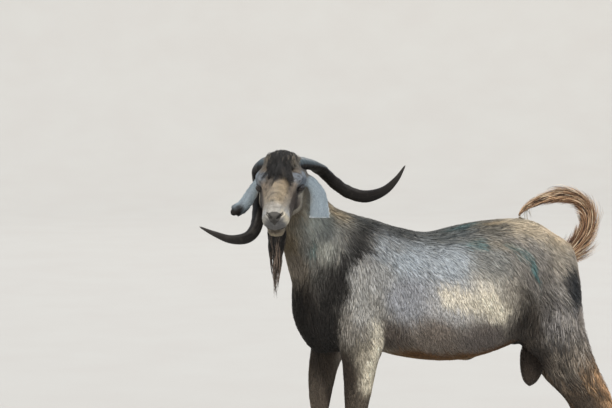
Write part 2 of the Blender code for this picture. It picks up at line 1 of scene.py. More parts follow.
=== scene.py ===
"""A standing goat buck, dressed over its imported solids.

One skin stands for all the flesh and lies under the coat by the coat's depth. The coat is
solid locks laid along the body from a chart of how the hair lies. Horns, claws and eyes are
pieces of their own. Skin and coat take their markings from the same functions.

A body place is (back from the middle of the trunk, out from the middle plane, up from the
floor). A head place is (ahead, left, up) from a point between the eyes. Charts, strokes and
what passes through metres() are in millimetres, and every other size is in metres.
"""

import itertools
import math

import bmesh
import bpy
import numpy as np
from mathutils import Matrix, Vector
from mathutils.bvhtree import BVHTree
from mathutils.kdtree import KDTree


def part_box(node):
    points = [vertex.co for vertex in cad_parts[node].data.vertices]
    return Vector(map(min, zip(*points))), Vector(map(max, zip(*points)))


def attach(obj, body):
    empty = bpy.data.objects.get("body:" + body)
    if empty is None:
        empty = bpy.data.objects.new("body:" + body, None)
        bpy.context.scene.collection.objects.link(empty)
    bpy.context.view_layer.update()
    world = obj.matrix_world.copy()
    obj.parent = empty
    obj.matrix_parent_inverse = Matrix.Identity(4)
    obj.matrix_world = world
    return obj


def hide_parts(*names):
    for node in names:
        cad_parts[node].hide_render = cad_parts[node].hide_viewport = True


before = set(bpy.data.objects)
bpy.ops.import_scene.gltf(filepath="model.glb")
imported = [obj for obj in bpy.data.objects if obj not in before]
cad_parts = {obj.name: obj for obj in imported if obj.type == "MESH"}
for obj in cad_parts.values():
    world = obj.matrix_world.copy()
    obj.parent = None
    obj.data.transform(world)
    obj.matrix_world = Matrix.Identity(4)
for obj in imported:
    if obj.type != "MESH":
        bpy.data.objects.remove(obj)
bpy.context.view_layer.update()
rng = np.random.default_rng(7)

# ---- landmarks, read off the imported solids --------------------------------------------
TOE_TO_MIDDLE = 0.344  # from the left fore toe back to the middle of the trunk
HEAD_DIP = math.radians(25.0)


def metres(table):
    """A table of millimetres in metres."""
    return np.array(table, float) / 1000


def unit(vectors):
    vectors = np.asarray(vectors, float)
    return vectors / np.maximum(np.linalg.norm(vectors, axis=-1, keepdims=True), 1e-9)


def box_centre(node):
    return np.array([list(corner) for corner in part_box(node)]).mean(0)


near_toe, far_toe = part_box("claw_fore_left_outer")[0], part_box("claw_fore_right_outer")[1]
MIDDLE = np.array([near_toe.x + TOE_TO_MIDDLE, (near_toe.y + far_toe.y) / 2, 0.0])
EYES = {1: box_centre("eye_left"), -1: box_centre("eye_right")}
EYE_RADIUS = (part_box("eye_left")[1].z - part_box("eye_left")[0].z) / 2
EYE_AHEAD = 0.010  # the eyes lie this far ahead of the head's own origin
LEFT = unit((EYES[1] - EYES[-1]) * (1, 1, 0))
FLAT = np.array([LEFT[1], -LEFT[0], 0.0])
AHEAD = FLAT * math.cos(HEAD_DIP) - np.array([0, 0, math.sin(HEAD_DIP)])
UP = FLAT * math.sin(HEAD_DIP) + np.array([0, 0, math.cos(HEAD_DIP)])
HEAD_AXES = np.array([AHEAD, LEFT, UP])
HEAD = (EYES[1] + EYES[-1]) / 2 - AHEAD * EYE_AHEAD


def on_head(places):
    return HEAD + np.asarray(places, float) @ HEAD_AXES


def from_head(points):
    return (points - HEAD) @ HEAD_AXES.T


def folded(places):
    """Body or head places with the right side laid over the left one."""
    return places * (1, 0, 1) + np.abs(places) * (0, 1, 0)


# ---- the coat's chart -----------------------------------------------------------------
# Each row: place, lie of the hair, then hair length mm, coat depth mm, lock width mm,
# overlapping layers, clumping and colour. Body rows are mirrored, and so are head rows.
BODY_CHART = [
    # crest, withers, back and croup
    ((-400, 10, 885), (0.8, 0.1, -0.6), 44, 7, 1.6, 7, 0.4, "897c6b"),
    ((-310, 20, 810), (0.85, 0.1, -0.5), 58, 9, 1.8, 7, 0.5, "928875"),
    ((-255, 30, 785), (1, 0.2, -0.35), 60, 9, 1.9, 7, 0.5, "6a6a65"),
    ((-150, 30, 760), (1, 0.25, -0.2), 56, 9, 1.9, 7, 0.5, "5f605d"),
    ((-20, 30, 735), (1, 0.25, -0.1), 52, 8, 1.9, 7, 0.4, "626563"),
    ((110, 30, 758), (1, 0.3, -0.05), 50, 8, 1.9, 7, 0.4, "6f6b61"),
    ((230, 30, 760), (1, 0.35, -0.2), 48, 8, 1.9, 7, 0.4, "ada18c"),
    ((310, 30, 735), (1, 0.3, -0.6), 44, 7, 1.8, 7, 0.4, "c2b198"),
    # neck, throat and breast
    ((-385, 75, 790), (0.45, 0.1, -0.9), 42, 6, 1.6, 7, 0.4, "b3b7af"),
    ((-370, 90, 710), (0.2, 0.1, -1), 44, 7, 1.6, 7, 0.4, "96968f"),
    ((-355, 105, 650), (0, 0.05, -1), 46, 8, 1.8, 7, 0.5, "5e5c57"),
    ((-445, 30, 740), (0.15, 0.2, -1), 42, 6, 1.6, 7, 0.4, "756852"),
    ((-425, 50, 650), (0.05, 0.1, -1), 46, 8, 1.8, 7, 0.5, "857b6d"),
    ((-405, 50, 560), (0.05, 0.05, -1), 50, 9, 1.9, 7, 0.5, "473f37"),
    ((-375, 50, 440), (0.35, 0.05, -1), 50, 9, 1.9, 7, 0.5, "241f1b"),
    ((-320, 30, 400), (0.8, 0.05, -0.6), 40, 7, 1.8, 6, 0.4, "3a322b"),
    # shoulder and arm
    ((-262, 100, 735), (0.45, 0.1, -0.9), 52, 8, 1.8, 7, 0.5, "5d5b57"),
    ((-200, 115, 705), (0.5, 0.1, -0.9), 46, 7, 1.7, 7, 0.4, "a4a9ac"),
    ((-330, 115, 620), (0.05, 0.05, -1), 48, 8, 1.8, 7, 0.5, "3c3936"),
    ((-262, 125, 650), (0.15, 0.05, -1), 44, 7, 1.7, 7, 0.5, "9b9a97"),
    ((-225, 135, 640), (0.2, 0.05, -1), 42, 7, 1.7, 7, 0.4, "a9a9a7"),
    ((-245, 135, 550), (0.05, 0.05, -1), 42, 7, 1.7, 7, 0.4, "a8a59e"),
    ((-355, 105, 500), (0.1, 0.05, -1), 48, 8, 1.8, 7, 0.5, "2b2723"),
    ((-285, 130, 500), (0.1, 0.05, -1), 44, 8, 1.8, 7, 0.5, "8b867e"),
    ((-190, 120, 460), (0.3, 0.05, -1), 44, 7, 1.7, 6, 0.5, "655b53"),
    # ribs, flank and belly
    ((-150, 140, 690), (0.6, 0.1, -0.8), 42, 6, 1.6, 7, 0.2, "b3bbc1"),
    ((-150, 155, 580), (0.25, 0.05, -1), 38, 6, 1.6, 7, 0.2, "a4a6ab"),
    ((-20, 150, 670), (0.6, 0.1, -0.8), 42, 6, 1.6, 7, 0.2, "b6bdc2"),
    ((-20, 175, 570), (0.3, 0.05, -1), 38, 6, 1.6, 7, 0.2, "bcbbba"),
    ((-60, 165, 450), (0.35, -0.1, -1), 36, 7, 1.6, 7, 0.3, "857a70"),
    ((90, 150, 680), (0.7, 0.1, -0.75), 44, 7, 1.6, 7, 0.3, "94948f"),
    ((90, 170, 570), (0.3, 0.05, -1), 40, 7, 1.6, 7, 0.4, "cdc7bb"),
    ((80, 155, 450), (0.4, -0.1, -1), 38, 7, 1.6, 7, 0.3, "79706a"),
    ((165, 150, 560), (0.15, 0.05, -1), 44, 8, 1.6, 7, 0.5, "a39c90"),
    ((-100, 40, 385), (0.9, 0.1, -0.25), 32, 6, 1.8, 5, 0.3, "7a6041"),
    ((50, 40, 370), (0.9, 0.1, -0.25), 32, 6, 1.8, 5, 0.3, "80653f"),
    ((190, 40, 400), (0.9, 0.1, -0.25), 36, 7, 1.8, 5, 0.4, "4c4035"),
    # hip, rump and thigh
    ((215, 120, 690), (0.7, 0.15, -0.75), 46, 8, 1.7, 7, 0.4, "9b968e"),
    ((240, 140, 610), (0.4, 0.05, -1), 52, 9, 1.8, 7, 0.5, "827d77"),
    ((330, 105, 670), (0.6, 0.1, -0.9), 46, 8, 1.7, 7, 0.4, "b0a799"),
    ((340, 110, 570), (0.35, 0.1, -1), 54, 10, 1.8, 7, 0.6, "6f6c69"),
    ((392, 35, 620), (0.1, 0.2, -1), 40, 7, 1.7, 7, 0.4, "bdb6af"),
    ((300, 140, 500), (0.3, 0.05, -1), 68, 13, 2.0, 8, 0.9, "8c8885"),
    ((225, 130, 500), (0.15, 0.05, -1), 56, 10, 1.9, 7, 0.7, "4c453e"),
    ((385, 100, 500), (0.35, 0.1, -1), 72, 14, 2.0, 8, 0.9, "a79f97"),
    ((330, 130, 390), (0.5, 0.05, -1), 68, 13, 2.0, 8, 0.9, "857b6f"),
    ((240, 90, 395), (0.4, 0, -1), 46, 8, 1.8, 6, 0.6, "332c26"),
    ((310, 50, 400), (0.5, 0, -1), 44, 8, 1.9, 5, 0.5, "37302a"),
    ((400, 120, 345), (0.6, 0.1, -0.9), 68, 12, 2.0, 8, 0.9, "7b6854"),
    ((450, 110, 280), (0.5, 0.05, -1), 60, 11, 1.9, 8, 0.9, "9d8062"),
    # lower legs
    ((400, 110, 250), (0.2, 0, -1), 26, 4, 1.4, 5, 0.4, "55493d"),
    ((450, 110, 215), (0.2, 0, -1), 28, 4, 1.4, 5, 0.5, "75614c"),
    ((435, 100, 150), (0.05, 0, -1), 14, 2, 1.4, 4, 0.3, "52473c"),
    ((410, 100, 65), (-0.3, 0, -1), 14, 2, 1.4, 4, 0.3, "463d34"),
    ((-250, 140, 420), (0.15, 0, -1), 38, 5, 1.6, 6, 0.4, "a09888"),
    ((-210, 115, 370), (0.3, 0, -1), 40, 6, 1.7, 6, 0.5, "cabfa6"),
    ((-295, 105, 370), (0.05, 0, -1), 30, 4, 1.5, 6, 0.3, "463b30"),
    ((-240, 75, 380), (0.1, 0, -1), 26, 4, 1.5, 5, 0.3, "857c73"),
    ((-265, 100, 260), (0.05, 0, -1), 18, 3, 1.3, 5, 0.3, "655a4e"),
    ((-265, 100, 150), (0, 0, -1), 13, 2, 1.4, 4, 0.3, "54493e"),
    ((-290, 100, 65), (-0.3, 0, -1), 13, 2, 1.4, 4, 0.3, "463d34"),
    ((282, 30, 340), (0, 0, -1), 12, 3, 1.4, 3, 0.2, "453b33"),
]
HEAD_CHART = [
    # poll and brow
    ((-100, 10, 62), (-0.8, 0, -0.1), 38, 6, 1.6, 6, 0.4, "7a6f61"),
    ((-60, 8, 75), (0.85, 0.1, 0.15), 30, 7, 1.5, 6, 0.6, "3d3934"),
    ((-20, 8, 70), (0.95, 0.05, -0.15), 28, 6, 1.4, 6, 0.6, "35322f"),
    ((18, 6, 55), (0.95, 0.05, -0.2), 16, 3, 1.1, 5, 0.5, "4a433b"),
    ((-50, 42, 58), (0.7, 0.55, -0.3), 26, 5, 1.4, 5, 0.4, "716c64"),
    ((-10, 40, 48), (0.6, 0.6, -0.3), 12, 3, 1.0, 4, 0.3, "857a6c"),
    ((12, 42, 36), (-0.3, 0.8, 0.3), 7, 1.4, 0.8, 3, 0.1, "757a7f"),
    ((-12, 60, 22), (-0.7, 0.3, 0.1), 6, 1.4, 0.8, 3, 0.1, "737b83"),
    # nose bridge, muzzle and lips
    ((45, 10, 48), (-1, 0.1, 0.05), 7, 1.4, 0.8, 3, 0.1, "5f564c"),
    ((80, 10, 42), (-1, 0.1, 0.05), 6, 1.2, 0.8, 2.6, 0.1, "877a67"),
    ((115, 10, 36), (-1, 0.1, 0.08), 5, 1.0, 0.7, 2.4, 0.1, "958a79"),
    ((145, 10, 22), (-1, 0.1, 0.1), 4, 0.9, 0.6, 2.2, 0.1, "97938c"),
    ((150, 28, -5), (-1, 0.2, -0.05), 4, 0.9, 0.6, 2.2, 0.1, "a19e97"),
    ((170, 10, -22), (-1, 0.3, -0.1), 3, 0.6, 0.6, 1.6, 0.1, "6b6a69"),
    ((160, 8, -56), (-0.6, 0.1, -0.8), 6, 1.2, 0.8, 2.4, 0.2, "837866"),
    ((120, 15, -70), (-0.4, 0.1, -1), 24, 3, 1.3, 4, 0.5, "2b2622"),
    # cheeks and jaw
    ((60, 42, 20), (-1, 0.2, -0.05), 6, 1.3, 0.8, 2.8, 0.1, "7d7163"),
    ((60, 42, -25), (-1, 0.1, -0.2), 7, 1.5, 0.8, 2.8, 0.1, "6d6358"),
    ((110, 36, -20), (-1, 0.1, -0.15), 6, 1.2, 0.8, 2.6, 0.1, "857d72"),
    ((0, 56, -40), (-0.9, 0.1, -0.5), 10, 2, 1.0, 3.4, 0.2, "877f70"),
    ((-40, 55, -50), (-0.8, 0.1, -0.7), 16, 3, 1.3, 4, 0.3, "8a8272"),
    ((-20, 25, -105), (-0.8, 0.1, -0.7), 30, 5, 1.5, 5, 0.6, "7d725f"),
    ((60, 20, -85), (-0.8, 0.1, -0.7), 14, 2.5, 1.2, 4, 0.3, "6d6355"),
    ((-80, 58, -30), (-0.6, 0.1, -0.9), 26, 4, 1.5, 5, 0.3, "878072"),
    ((-65, 58, 10), (-0.4, 0.4, -0.6), 12, 3, 1.2, 4, 0.2, "7d7a76"),
]
EAR_HAIR = (7, 0.8, 0.8, 3.0, 0.1, "95a2ab")
# each ear's middle line from its root, in head places
LEFT_EAR = metres([(-70, 46, 4), (-56, 76, -18), (-40, 93, -42), (-20, 99, -68), (2, 101, -96)])
RIGHT_EAR = metres([(-68, -46, 6), (-44, -70, -22), (-25, -88, -45), (-6, -100, -60), (18, -124, -69)])
TAIL = metres([  # back, up, half thickness inside the hair, half thickness of the hair
    (350, 618, 22, 30),
    (402, 664, 19, 41),
    (430, 700, 16, 42),
    (444, 738, 13, 37),
    (438, 778, 12, 35),
    (412, 806, 11, 30),
    (372, 816, 10, 28),
    (326, 812, 7, 22),
    (286, 800, 4, 15),
    (256, 784, 2, 8),
    (238, 766, 1, 2),
])
TAIL_HAIR = [  # hair and colour at the tail's places, short of the tip over the back
    (46, 8, 1.9, 7, 0.5, "c0ac90"),
    (44, 8, 1.9, 7, 0.6, "b9a283"),
    (40, 8, 1.9, 7, 0.6, "a3896b"),
    (36, 7, 1.9, 7, 0.6, "94785b"),
    (36, 7, 1.9, 7, 0.6, "8d7358"),
    (36, 7, 1.9, 7, 0.6, "846c55"),
    (36, 6, 1.9, 7, 0.6, "806850"),
    (36, 5, 1.9, 7, 0.6, "8a6c4c"),
]


def linear(colour):
    """An sRGB hex colour as linear red, green and blue."""
    parts = np.array([int(colour[k : k + 2], 16) / 255 for k in (0, 2, 4)])
    return np.where(parts <= 0.04045, parts / 12.92, ((parts + 0.055) / 1.055) ** 2.4)


def chart_rows():
    """The chart's places and their values: lie, hair sizes and colour."""
    places, values = [], []

    def add(place, lie, hair):
        places.append(place)
        values.append([*unit(lie), *hair[:-1], *linear(hair[-1])])

    for side in (-1, 1):
        flip = np.array([1, side, 1])
        for place, lie, *hair in BODY_CHART:
            add(MIDDLE + metres(place) * flip, lie * flip, hair)
        for place, lie, *hair in HEAD_CHART:
            add(on_head(metres(place) * flip), (lie * flip) @ HEAD_AXES, hair)
    for ear in (LEFT_EAR, RIGHT_EAR):
        for index in range(1, len(ear)):
            add(on_head(ear[index]), (ear[index] - ear[index - 1]) @ HEAD_AXES, EAR_HAIR)
    spine = np.array([(back, 0.0, up) for back, up, *_ in TAIL])
    for index, hair in enumerate(TAIL_HAIR):
        lie = spine[min(index + 1, len(spine) - 1)] - spine[max(index - 1, 0)]
        add(MIDDLE + spine[index], lie, hair)
    return np.array(places), np.array(values, float)


CHART_PLACES, CHART_VALUES = chart_rows()
LIE, HAIR, DEPTH, LOCK, COVER, CLUMP, TONE = slice(0, 3), 3, 4, 5, 6, 7, slice(8, 11)
CHUNK = 20000  # points weighed at a time
FALL_OFF, SOFTENING = -2.5, 1e-5  # how a chart place's weight falls with its squared distance


def chart_at(points):
    """The chart blended at these points, the nearest places weighing most."""
    found = np.empty((len(points), CHART_VALUES.shape[1]))
    for start in range(0, len(points), CHUNK):
        part = points[start : start + CHUNK]
        gap = ((part[:, None] - CHART_PLACES[None]) ** 2).sum(2) + SOFTENING
        weight = gap**FALL_OFF
        found[start : start + CHUNK] = weight @ CHART_VALUES / weight.sum(1, keepdims=True)
    return found


def noise(points, size, seed):
    """Smooth random numbers from 0 to 1, in lumps about size metres across.

    The large whole numbers stir each cell's numbers into one that looks random.
    """
    places = points / size + 31.7 * seed
    cells = np.floor(places).astype(np.int64)
    share = places - cells
    share = share * share * (3 - 2 * share)
    total = np.zeros(len(points))
    for corner in itertools.product((0, 1), repeat=3):
        x, y, z = (cells + corner).T
        mixed = (x * 73856093) ^ (y * 19349663) ^ (z * 83492791) ^ (seed * 7919)
        mixed = (mixed ^ (mixed >> 13)) * 1274126177
        value = ((mixed ^ (mixed >> 16)) & 0xFFFF) / 0xFFFF
        total += value * np.prod(np.where(corner, share, 1 - share), axis=1)
    return total


def smoothstep(value):
    value = np.clip(value, 0, 1)
    return value * value * (3 - 2 * value)


def ridge(places, middle, breadth):
    """1 at the middle, falling smoothly to 0 on both sides."""
    return np.exp(-(((places - middle) / breadth) ** 2))


# ---- markings -------------------------------------------------------------------------
# Strokes: a line of places, half breadth, strength and colour, laid one over another. The
# body's and the head's are laid on both sides.
BODY_STROKES = [
    # dark stripe from the withers down in front of the shoulder
    ([(-225, 30, 785), (-262, 90, 745), (-290, 115, 691)], 21, 0.95, "2a2927"),
    ([(-288, 115, 691), (-308, 115, 660), (-330, 112, 615)], 23, 1, "242220"),
    ([(-330, 112, 615), (-352, 105, 570), (-372, 90, 500)], 38, 1, "221f1c"),
    ([(-372, 90, 500), (-372, 80, 440)], 50, 0.97, "1e1a17"),
    ([(-400, 30, 560), (-395, 30, 500), (-370, 30, 430)], 58, 0.95, "1f1b17"),
    # the back's dark line and pale crest
    ([(-215, 0, 780), (-120, 0, 750), (60, 0, 745)], 36, 0.66, "3f3e3b"),
    ([(-120, 50, 742), (-20, 60, 722), (40, 50, 728)], 16, 0.5, "4b5558"),
    ([(-170, 100, 715), (-90, 110, 705)], 14, 0.4, "8b7a60"),
    ([(-30, 90, 712), (50, 90, 712)], 10, 0.45, "92805f"),
    ([(60, 20, 755), (150, 30, 760)], 18, 0.5, "b7a280"),
    ([(80, 100, 715), (150, 110, 705)], 14, 0.4, "a8977c"),
    ([(-390, 30, 860), (-320, 50, 810)], 22, 0.6, "ab9b80"),
    ([(190, 60, 748), (310, 70, 718)], 34, 0.62, "d8c7ab"),
    # pale neck, shoulder, flank and forearm, with painted pools of sunlight on the flank and down the
    # back of the forearm
    ([(-375, 85, 760), (-352, 100, 715)], 26, 0.4, "b4b7af"),
    ([(-262, 125, 660), (-262, 130, 600), (-260, 135, 530)], 26, 0.7, "b5b4b0"),
    # painted pools of sunlight on the flank
    ([(-30, 170, 585), (20, 170, 570), (100, 170, 570)], 28, 0.88, "f3ead6"),
    ([(60, 170, 555), (125, 160, 530)], 26, 0.88, "f0e7d2"),
    ([(50, 160, 635), (110, 160, 655)], 18, 0.3, "c2bcb0"),
    # painted sunlight down the back of the forearm
    ([(-228, 145, 500), (-220, 145, 440)], 22, 0.85, "e6dfcc"),
    ([(-220, 145, 440), (-238, 142, 395), (-243, 135, 345)], 24, 0.88, "f4ebd5"),
    ([(30, 160, 660), (45, 170, 600)], 24, 0.35, "cfcabf"),
    ([(-300, 120, 430), (-296, 110, 360), (-288, 100, 270)], 26, 0.88, "30271f"),
    # belly and groin
    ([(-120, 80, 400), (50, 80, 385), (160, 80, 395)], 42, 0.78, "684726"),
    ([(82, 0, 360), (120, 0, 372)], 18, 0.85, "3a3028"),
    # rump, hip and hind leg
    ([(345, 120, 618), (338, 130, 565)], 28, 0.92, "22262a"),
    ([(392, 70, 650), (398, 80, 560), (410, 80, 480)], 20, 0.75, "cfc5bc"),
    ([(190, 140, 575), (215, 140, 520), (240, 120, 430)], 26, 0.72, "3a342e"),
    ([(255, 140, 580), (275, 145, 520)], 15, 0.55, "3f3b38"),
    ([(290, 140, 620), (320, 140, 540)], 12, 0.45, "b5afa6"),
    ([(285, 150, 470), (320, 140, 420)], 13, 0.6, "37332f"),
    ([(320, 140, 500), (370, 130, 420)], 13, 0.5, "aaa298"),
    ([(290, 140, 360), (350, 130, 330)], 22, 0.65, "3b332b"),
    ([(412, 120, 360), (446, 120, 300), (465, 110, 250)], 13, 0.8, "caa27a"),
    ([(375, 130, 310), (410, 120, 250)], 8, 0.65, "45392e"),
    ([(425, 125, 350), (452, 120, 270)], 5, 0.7, "4b3b2c"),
    ([(470, 100, 290), (470, 100, 230)], 7, 0.6, "4b3e31"),
    ([(385, 130, 350), (415, 120, 290)], 9, 0.7, "46382b"),
    ([(360, 130, 370), (395, 130, 300)], 10, 0.75, "c29d76"),
    ([(-315, 90, 240), (-315, 90, 130)], 10, 0.45, "7c7062"),
    ([(405, 90, 190), (395, 90, 110)], 10, 0.45, "77695a"),
]
DYE = "3f7577"  # what is left of a stockman's blue-green marker
DYE_STROKES = [
    ([(30, -100, 704), (70, -96, 702)], 14, 0.6, "416f71"),
    ([(60, -20, 745), (0, -20, 738)], 19, 0.75, "3a5c5e"),
    ([(150, -120, 715), (190, -130, 690)], 16, 0.88, DYE),
    ([(190, -120, 715), (215, -130, 670), (232, -140, 628)], 9, 0.78, DYE),
    ([(-385, -80, 722), (-392, -85, 700)], 10, 0.5, DYE),
]
HEAD_STROKES = [
    # charcoal forelock and the dark brow below it, tan locks beside it
    ([(-90, 0, 65), (-45, 0, 85), (0, 0, 66)], 26, 0.85, "2d2b29"),
    ([(0, 6, 62), (48, 4, 50)], 13, 0.75, "37322e"),
    ([(20, 20, 52), (50, 18, 46)], 7, 0.5, "8c7c66"),
    ([(30, 30, 42), (60, 26, 40)], 8, 0.6, "5a5044"),
    ([(-45, 45, 52), (-10, 44, 44)], 9, 0.5, "8a847b"),
    # grey round the eyes
    ([(16, 50, 34), (-10, 60, 26)], 16, 0.45, "7c838a"),
    ([(30, 50, 14), (20, 54, 26)], 6, 0.6, "9b9b9d"),
    # pale bridge and muzzle
    ([(75, 4, 45), (138, 2, 30)], 17, 0.25, "a3947c"),
    ([(142, 8, 26), (156, 10, 16)], 10, 0.7, "b7b3ab"),
    ([(148, 31, 4), (135, 34, -16)], 9, 0.7, "babbbb"),
    # dark stripe from the eye down the cheek, then pale cheek hair behind it
    ([(28, 50, 2), (56, 44, -10), (70, 40, -30)], 13, 0.92, "332b26"),
    ([(34, 47, 6), (70, 42, 4), (112, 37, 0)], 8, 0.88, "3b322c"),
    ([(64, 43, -6), (100, 38, -12), (125, 34, -20)], 10, 0.85, "453a32"),
    ([(18, 56, -18), (4, 54, -50), (20, 46, -70)], 16, 0.8, "bcb4a2"),
    ([(-46, 54, -50), (-50, 50, -110)], 9, 0.6, "b1a794"),
    ([(166, 0, -46), (164, 8, -44)], 6, 0.8, "3e342b"),
    ([(162, 0, -60), (156, 10, -58)], 9, 0.6, "a69a84"),
    ([(150, 26, -18), (140, 30, -30)], 8, 0.5, "bdb09a"),
    ([(118, 0, -78), (95, 0, -80)], 22, 0.85, "211d1a"),
]
ONE_SIDED_STROKES = [
    # the bridge is tan on its left and grey on its right; the lip is creamier on its left as painted
    # light, and the muzzle and the cheek darker on their right as painted shade
    ([(60, 16, 43), (95, 17, 36), (130, 14, 28)], 14, 0.34, "ad9876"),
    ([(45, -18, 44), (110, -15, 34)], 10, 0.4, "756e67"),
    # painted light on the left of the lip
    ([(157, 26, 6), (151, 34, -22)], 12, 0.8, "d6cbb2"),
    # painted shade on the right of the muzzle
    ([(150, -30, 0), (138, -34, -20)], 11, 0.35, "74757a"),
    # painted shade down the right cheek
    ([(30, -52, 0), (48, -48, -16), (78, -42, -28)], 12, 0.92, "2c2825"),
    # pale rims of the left ear, and painted shade in the mouth of the right one's rolled end
    ([(6, 73, -92), (6, 100, -97), (-6, 129, -100)], 4.5, 0.85, "e6eaeb"),
    ([(-6, 129, -100), (-30, 125, -66)], 4.5, 0.75, "e6eaeb"),
    # painted shade inside the right ear's rolled end
    ([(30, -138, -62), (24, -118, -72)], 26, 1, "1b1511"),
]
# half width of the bare nose at heights above the eyes, and where it starts ahead of them
NOSE_UP = (-0.020, -0.014, -0.008, 0.000, 0.007, 0.012, 0.0145)
NOSE_HALF = (0.002, 0.005, 0.011, 0.016, 0.019, 0.014, 0.004)
NOSE_START = 0.146
NOSE, PAINTED_OPENING_SHADE, LID_RIM = "393633", "120e0c", "16120f"  # colours without hair on them; the second is painted shade in the nostrils and along the mouth's line
NOSTRIL = metres([(156, 20.5, 6), (165, 16.5, 6), (171.5, 9.5, 1)])
MOUTH = metres([(171, 0, -40), (165, 15, -38), (152, 26, -34), (120, 36, -26)])
PHILTRUM = metres([(173.5, 0, -8), (173, 0, -38)])
STREAK = 0.011  # breadth of the streaks that groups of hairs make
FRAY_LUMP, FRAY_STREAK = 0.012, 0.007  # sizes of the uneven edges of the strokes
SHORT_HAIR, HEAD_REACH = 0.19, 0.22  # how far finer streaks and head strokes reach
WAVE = (0.0045, 0.0200, 0.0060)  # a cross wave of the short hair: ahead, left, up


FAR = 9.0  # farther than anything here


def distance_to_line(points, line):
    """How far each point is from a line of straight pieces."""
    nearest = np.full(len(points), FAR)
    for start, end in zip(line[:-1], line[1:]):
        step = end - start
        share = np.clip((points - start) @ step / max(step @ step, 1e-12), 0, 1)
        gap = np.linalg.norm(points - start - share[:, None] * step, axis=1)
        nearest = np.minimum(nearest, gap)
    return nearest


def lay(colour, places, strokes, wander):
    """Lays soft-edged strokes over the colours. wander frays their edges."""
    for line, half, strength, shade in strokes:
        half = half / 1000
        reach = distance_to_line(places, metres(line)) + wander * half
        share = strength * smoothstep((1.62 * half - reach) / (1.25 * half))
        colour += share[:, None] * (linear(shade) - colour)


def from_openings(places):
    """How far folded head places are from the nostrils and the line of the mouth."""
    return np.minimum(distance_to_line(places, NOSTRIL), distance_to_line(places, MOUTH))


def on_nose(places):
    """1 on the bare nose, down to 0 away from it, for folded head places."""
    half = np.interp(places[:, 2], NOSE_UP, NOSE_HALF, left=0.0, right=0.0)
    share = smoothstep((half - places[:, 1] + 0.001) / 0.0025)
    return share * smoothstep((places[:, 0] - NOSE_START) / 0.006) * (half > 0)


def drawn_together(offset, lie, share):
    """The offsets less this share along the hair, so that a pattern on them runs with it."""
    return offset - lie * ((offset * lie).sum(1) * share)[:, None]


def combed(points, lie):
    """Places drawn together along the hair, block by block, each with its own pattern."""
    centre = points.round(1)
    return 7.3 * centre + drawn_together(points - centre, lie, 0.82)


def markings(points, chart, fray):
    """The goat's colour at these points, with stroke edges frayed by up to fray."""
    colour = chart[:, TONE].copy()
    lie = unit(chart[:, LIE])
    along = combed(points, lie)
    wander = fray * (noise(points, FRAY_LUMP, 3) + noise(along, FRAY_STREAK, 4) - 1.0) * 1.6
    body = points - MIDDLE
    lay(colour, folded(body), BODY_STROKES, wander)
    lay(colour, body, DYE_STROKES, wander)
    finer = 1 + 2.2 * (np.linalg.norm(points - HEAD, axis=1, keepdims=True) < SHORT_HAIR)
    streaks = 0.80 + 0.22 * noise(along * finer, STREAK, 8)
    streaks += 0.18 * noise(along * finer, STREAK / 2, 9)
    colour *= streaks[:, None]
    head = from_head(points)
    near = np.linalg.norm(head, axis=1) < HEAD_REACH
    part, places = colour[near], head[near]
    lay(part, folded(places), HEAD_STROKES, wander[near])
    # short hair lies in cross waves over the brow and the bridge of the nose
    waves = noise(places / WAVE, 1.0, 12)
    on_top = smoothstep((places[:, 2] - 0.010) / 0.020) * smoothstep((places[:, 0] + 0.02) / 0.03)
    part *= (1 + on_top * 1.60 * (waves - 0.52))[:, None]
    lay(part, places, ONE_SIDED_STROKES, wander[near])
    nose = 0.92 * on_nose(folded(places))
    # painted shade inside the nostrils and along the mouth's line
    opening_shade = smoothstep((0.0044 - from_openings(folded(places))) / 0.0022)
    rim = 0.96 * smoothstep((0.30 - outside_lids(points[near])) / 0.12)
    for share, shade in ((nose, NOSE), (opening_shade, PAINTED_OPENING_SHADE), (rim, LID_RIM)):
        part += share[:, None] * (linear(shade) - part)
    colour[near] = part
    return colour


# ---- eyes and lids --------------------------------------------------------------------
EYE_LOOK = unit((0.48, 0.80, 0.36))  # head place directions, mirrored for the right eye
EYE_LONG = (0.78, -0.58, -0.08)  # towards the inner corner
CORNER, UPPER_LID, LOWER_LID = 0.95, 0.33, 0.30  # half angles of the opening, radians
LID_REACH = 0.032  # the lids' angles hold this near to the middle of the ball
LID_THICK, LID_MARGIN, LID_FOLD, BROW = 0.0011, 0.0010, 0.0012, 0.0030
NOSTRIL_SINK, MOUTH_SINK, GROOVE_SINK = 0.0060, 0.0032, 0.0012
NOSTRIL_RIM, LIP_SWELL = 0.0013, 0.0009


def eye_axes(side):
    """Outwards, corner to corner, and up, for the left eye (1) or the right one (-1)."""
    flip = np.array([1, side, 1])
    look = (EYE_LOOK * flip) @ HEAD_AXES
    long = (np.array(EYE_LONG) * flip) @ HEAD_AXES
    long = unit(long - look * (long @ look))
    high = np.cross(look, long)
    return look, long, high if high @ UP > 0 else -high


def lid_edge(points, side):
    """Angle outside the lids' opening (below 0 inside it), distance and direction."""
    look, long, high = eye_axes(side)
    offset = points - EYES[side]
    reach = np.linalg.norm(offset, axis=1)
    aim = offset / reach[:, None]
    along, rise = np.arcsin(aim @ long), np.arcsin(aim @ high)
    half = np.where(rise > 0, UPPER_LID, LOWER_LID) * (1 - (along / CORNER) ** 2)
    edge = np.abs(rise) - half
    edge = np.where(np.abs(along) > CORNER, np.hypot(rise, along - np.sign(along) * CORNER), edge)
    edge = np.where((aim @ look < 0.15) | (reach > LID_REACH), FAR, edge)
    return edge, reach, aim


def outside_lids(points):
    """The angle outside the opening of the nearer eye."""
    return np.min([lid_edge(points, side)[0] for side in EYES], axis=0)


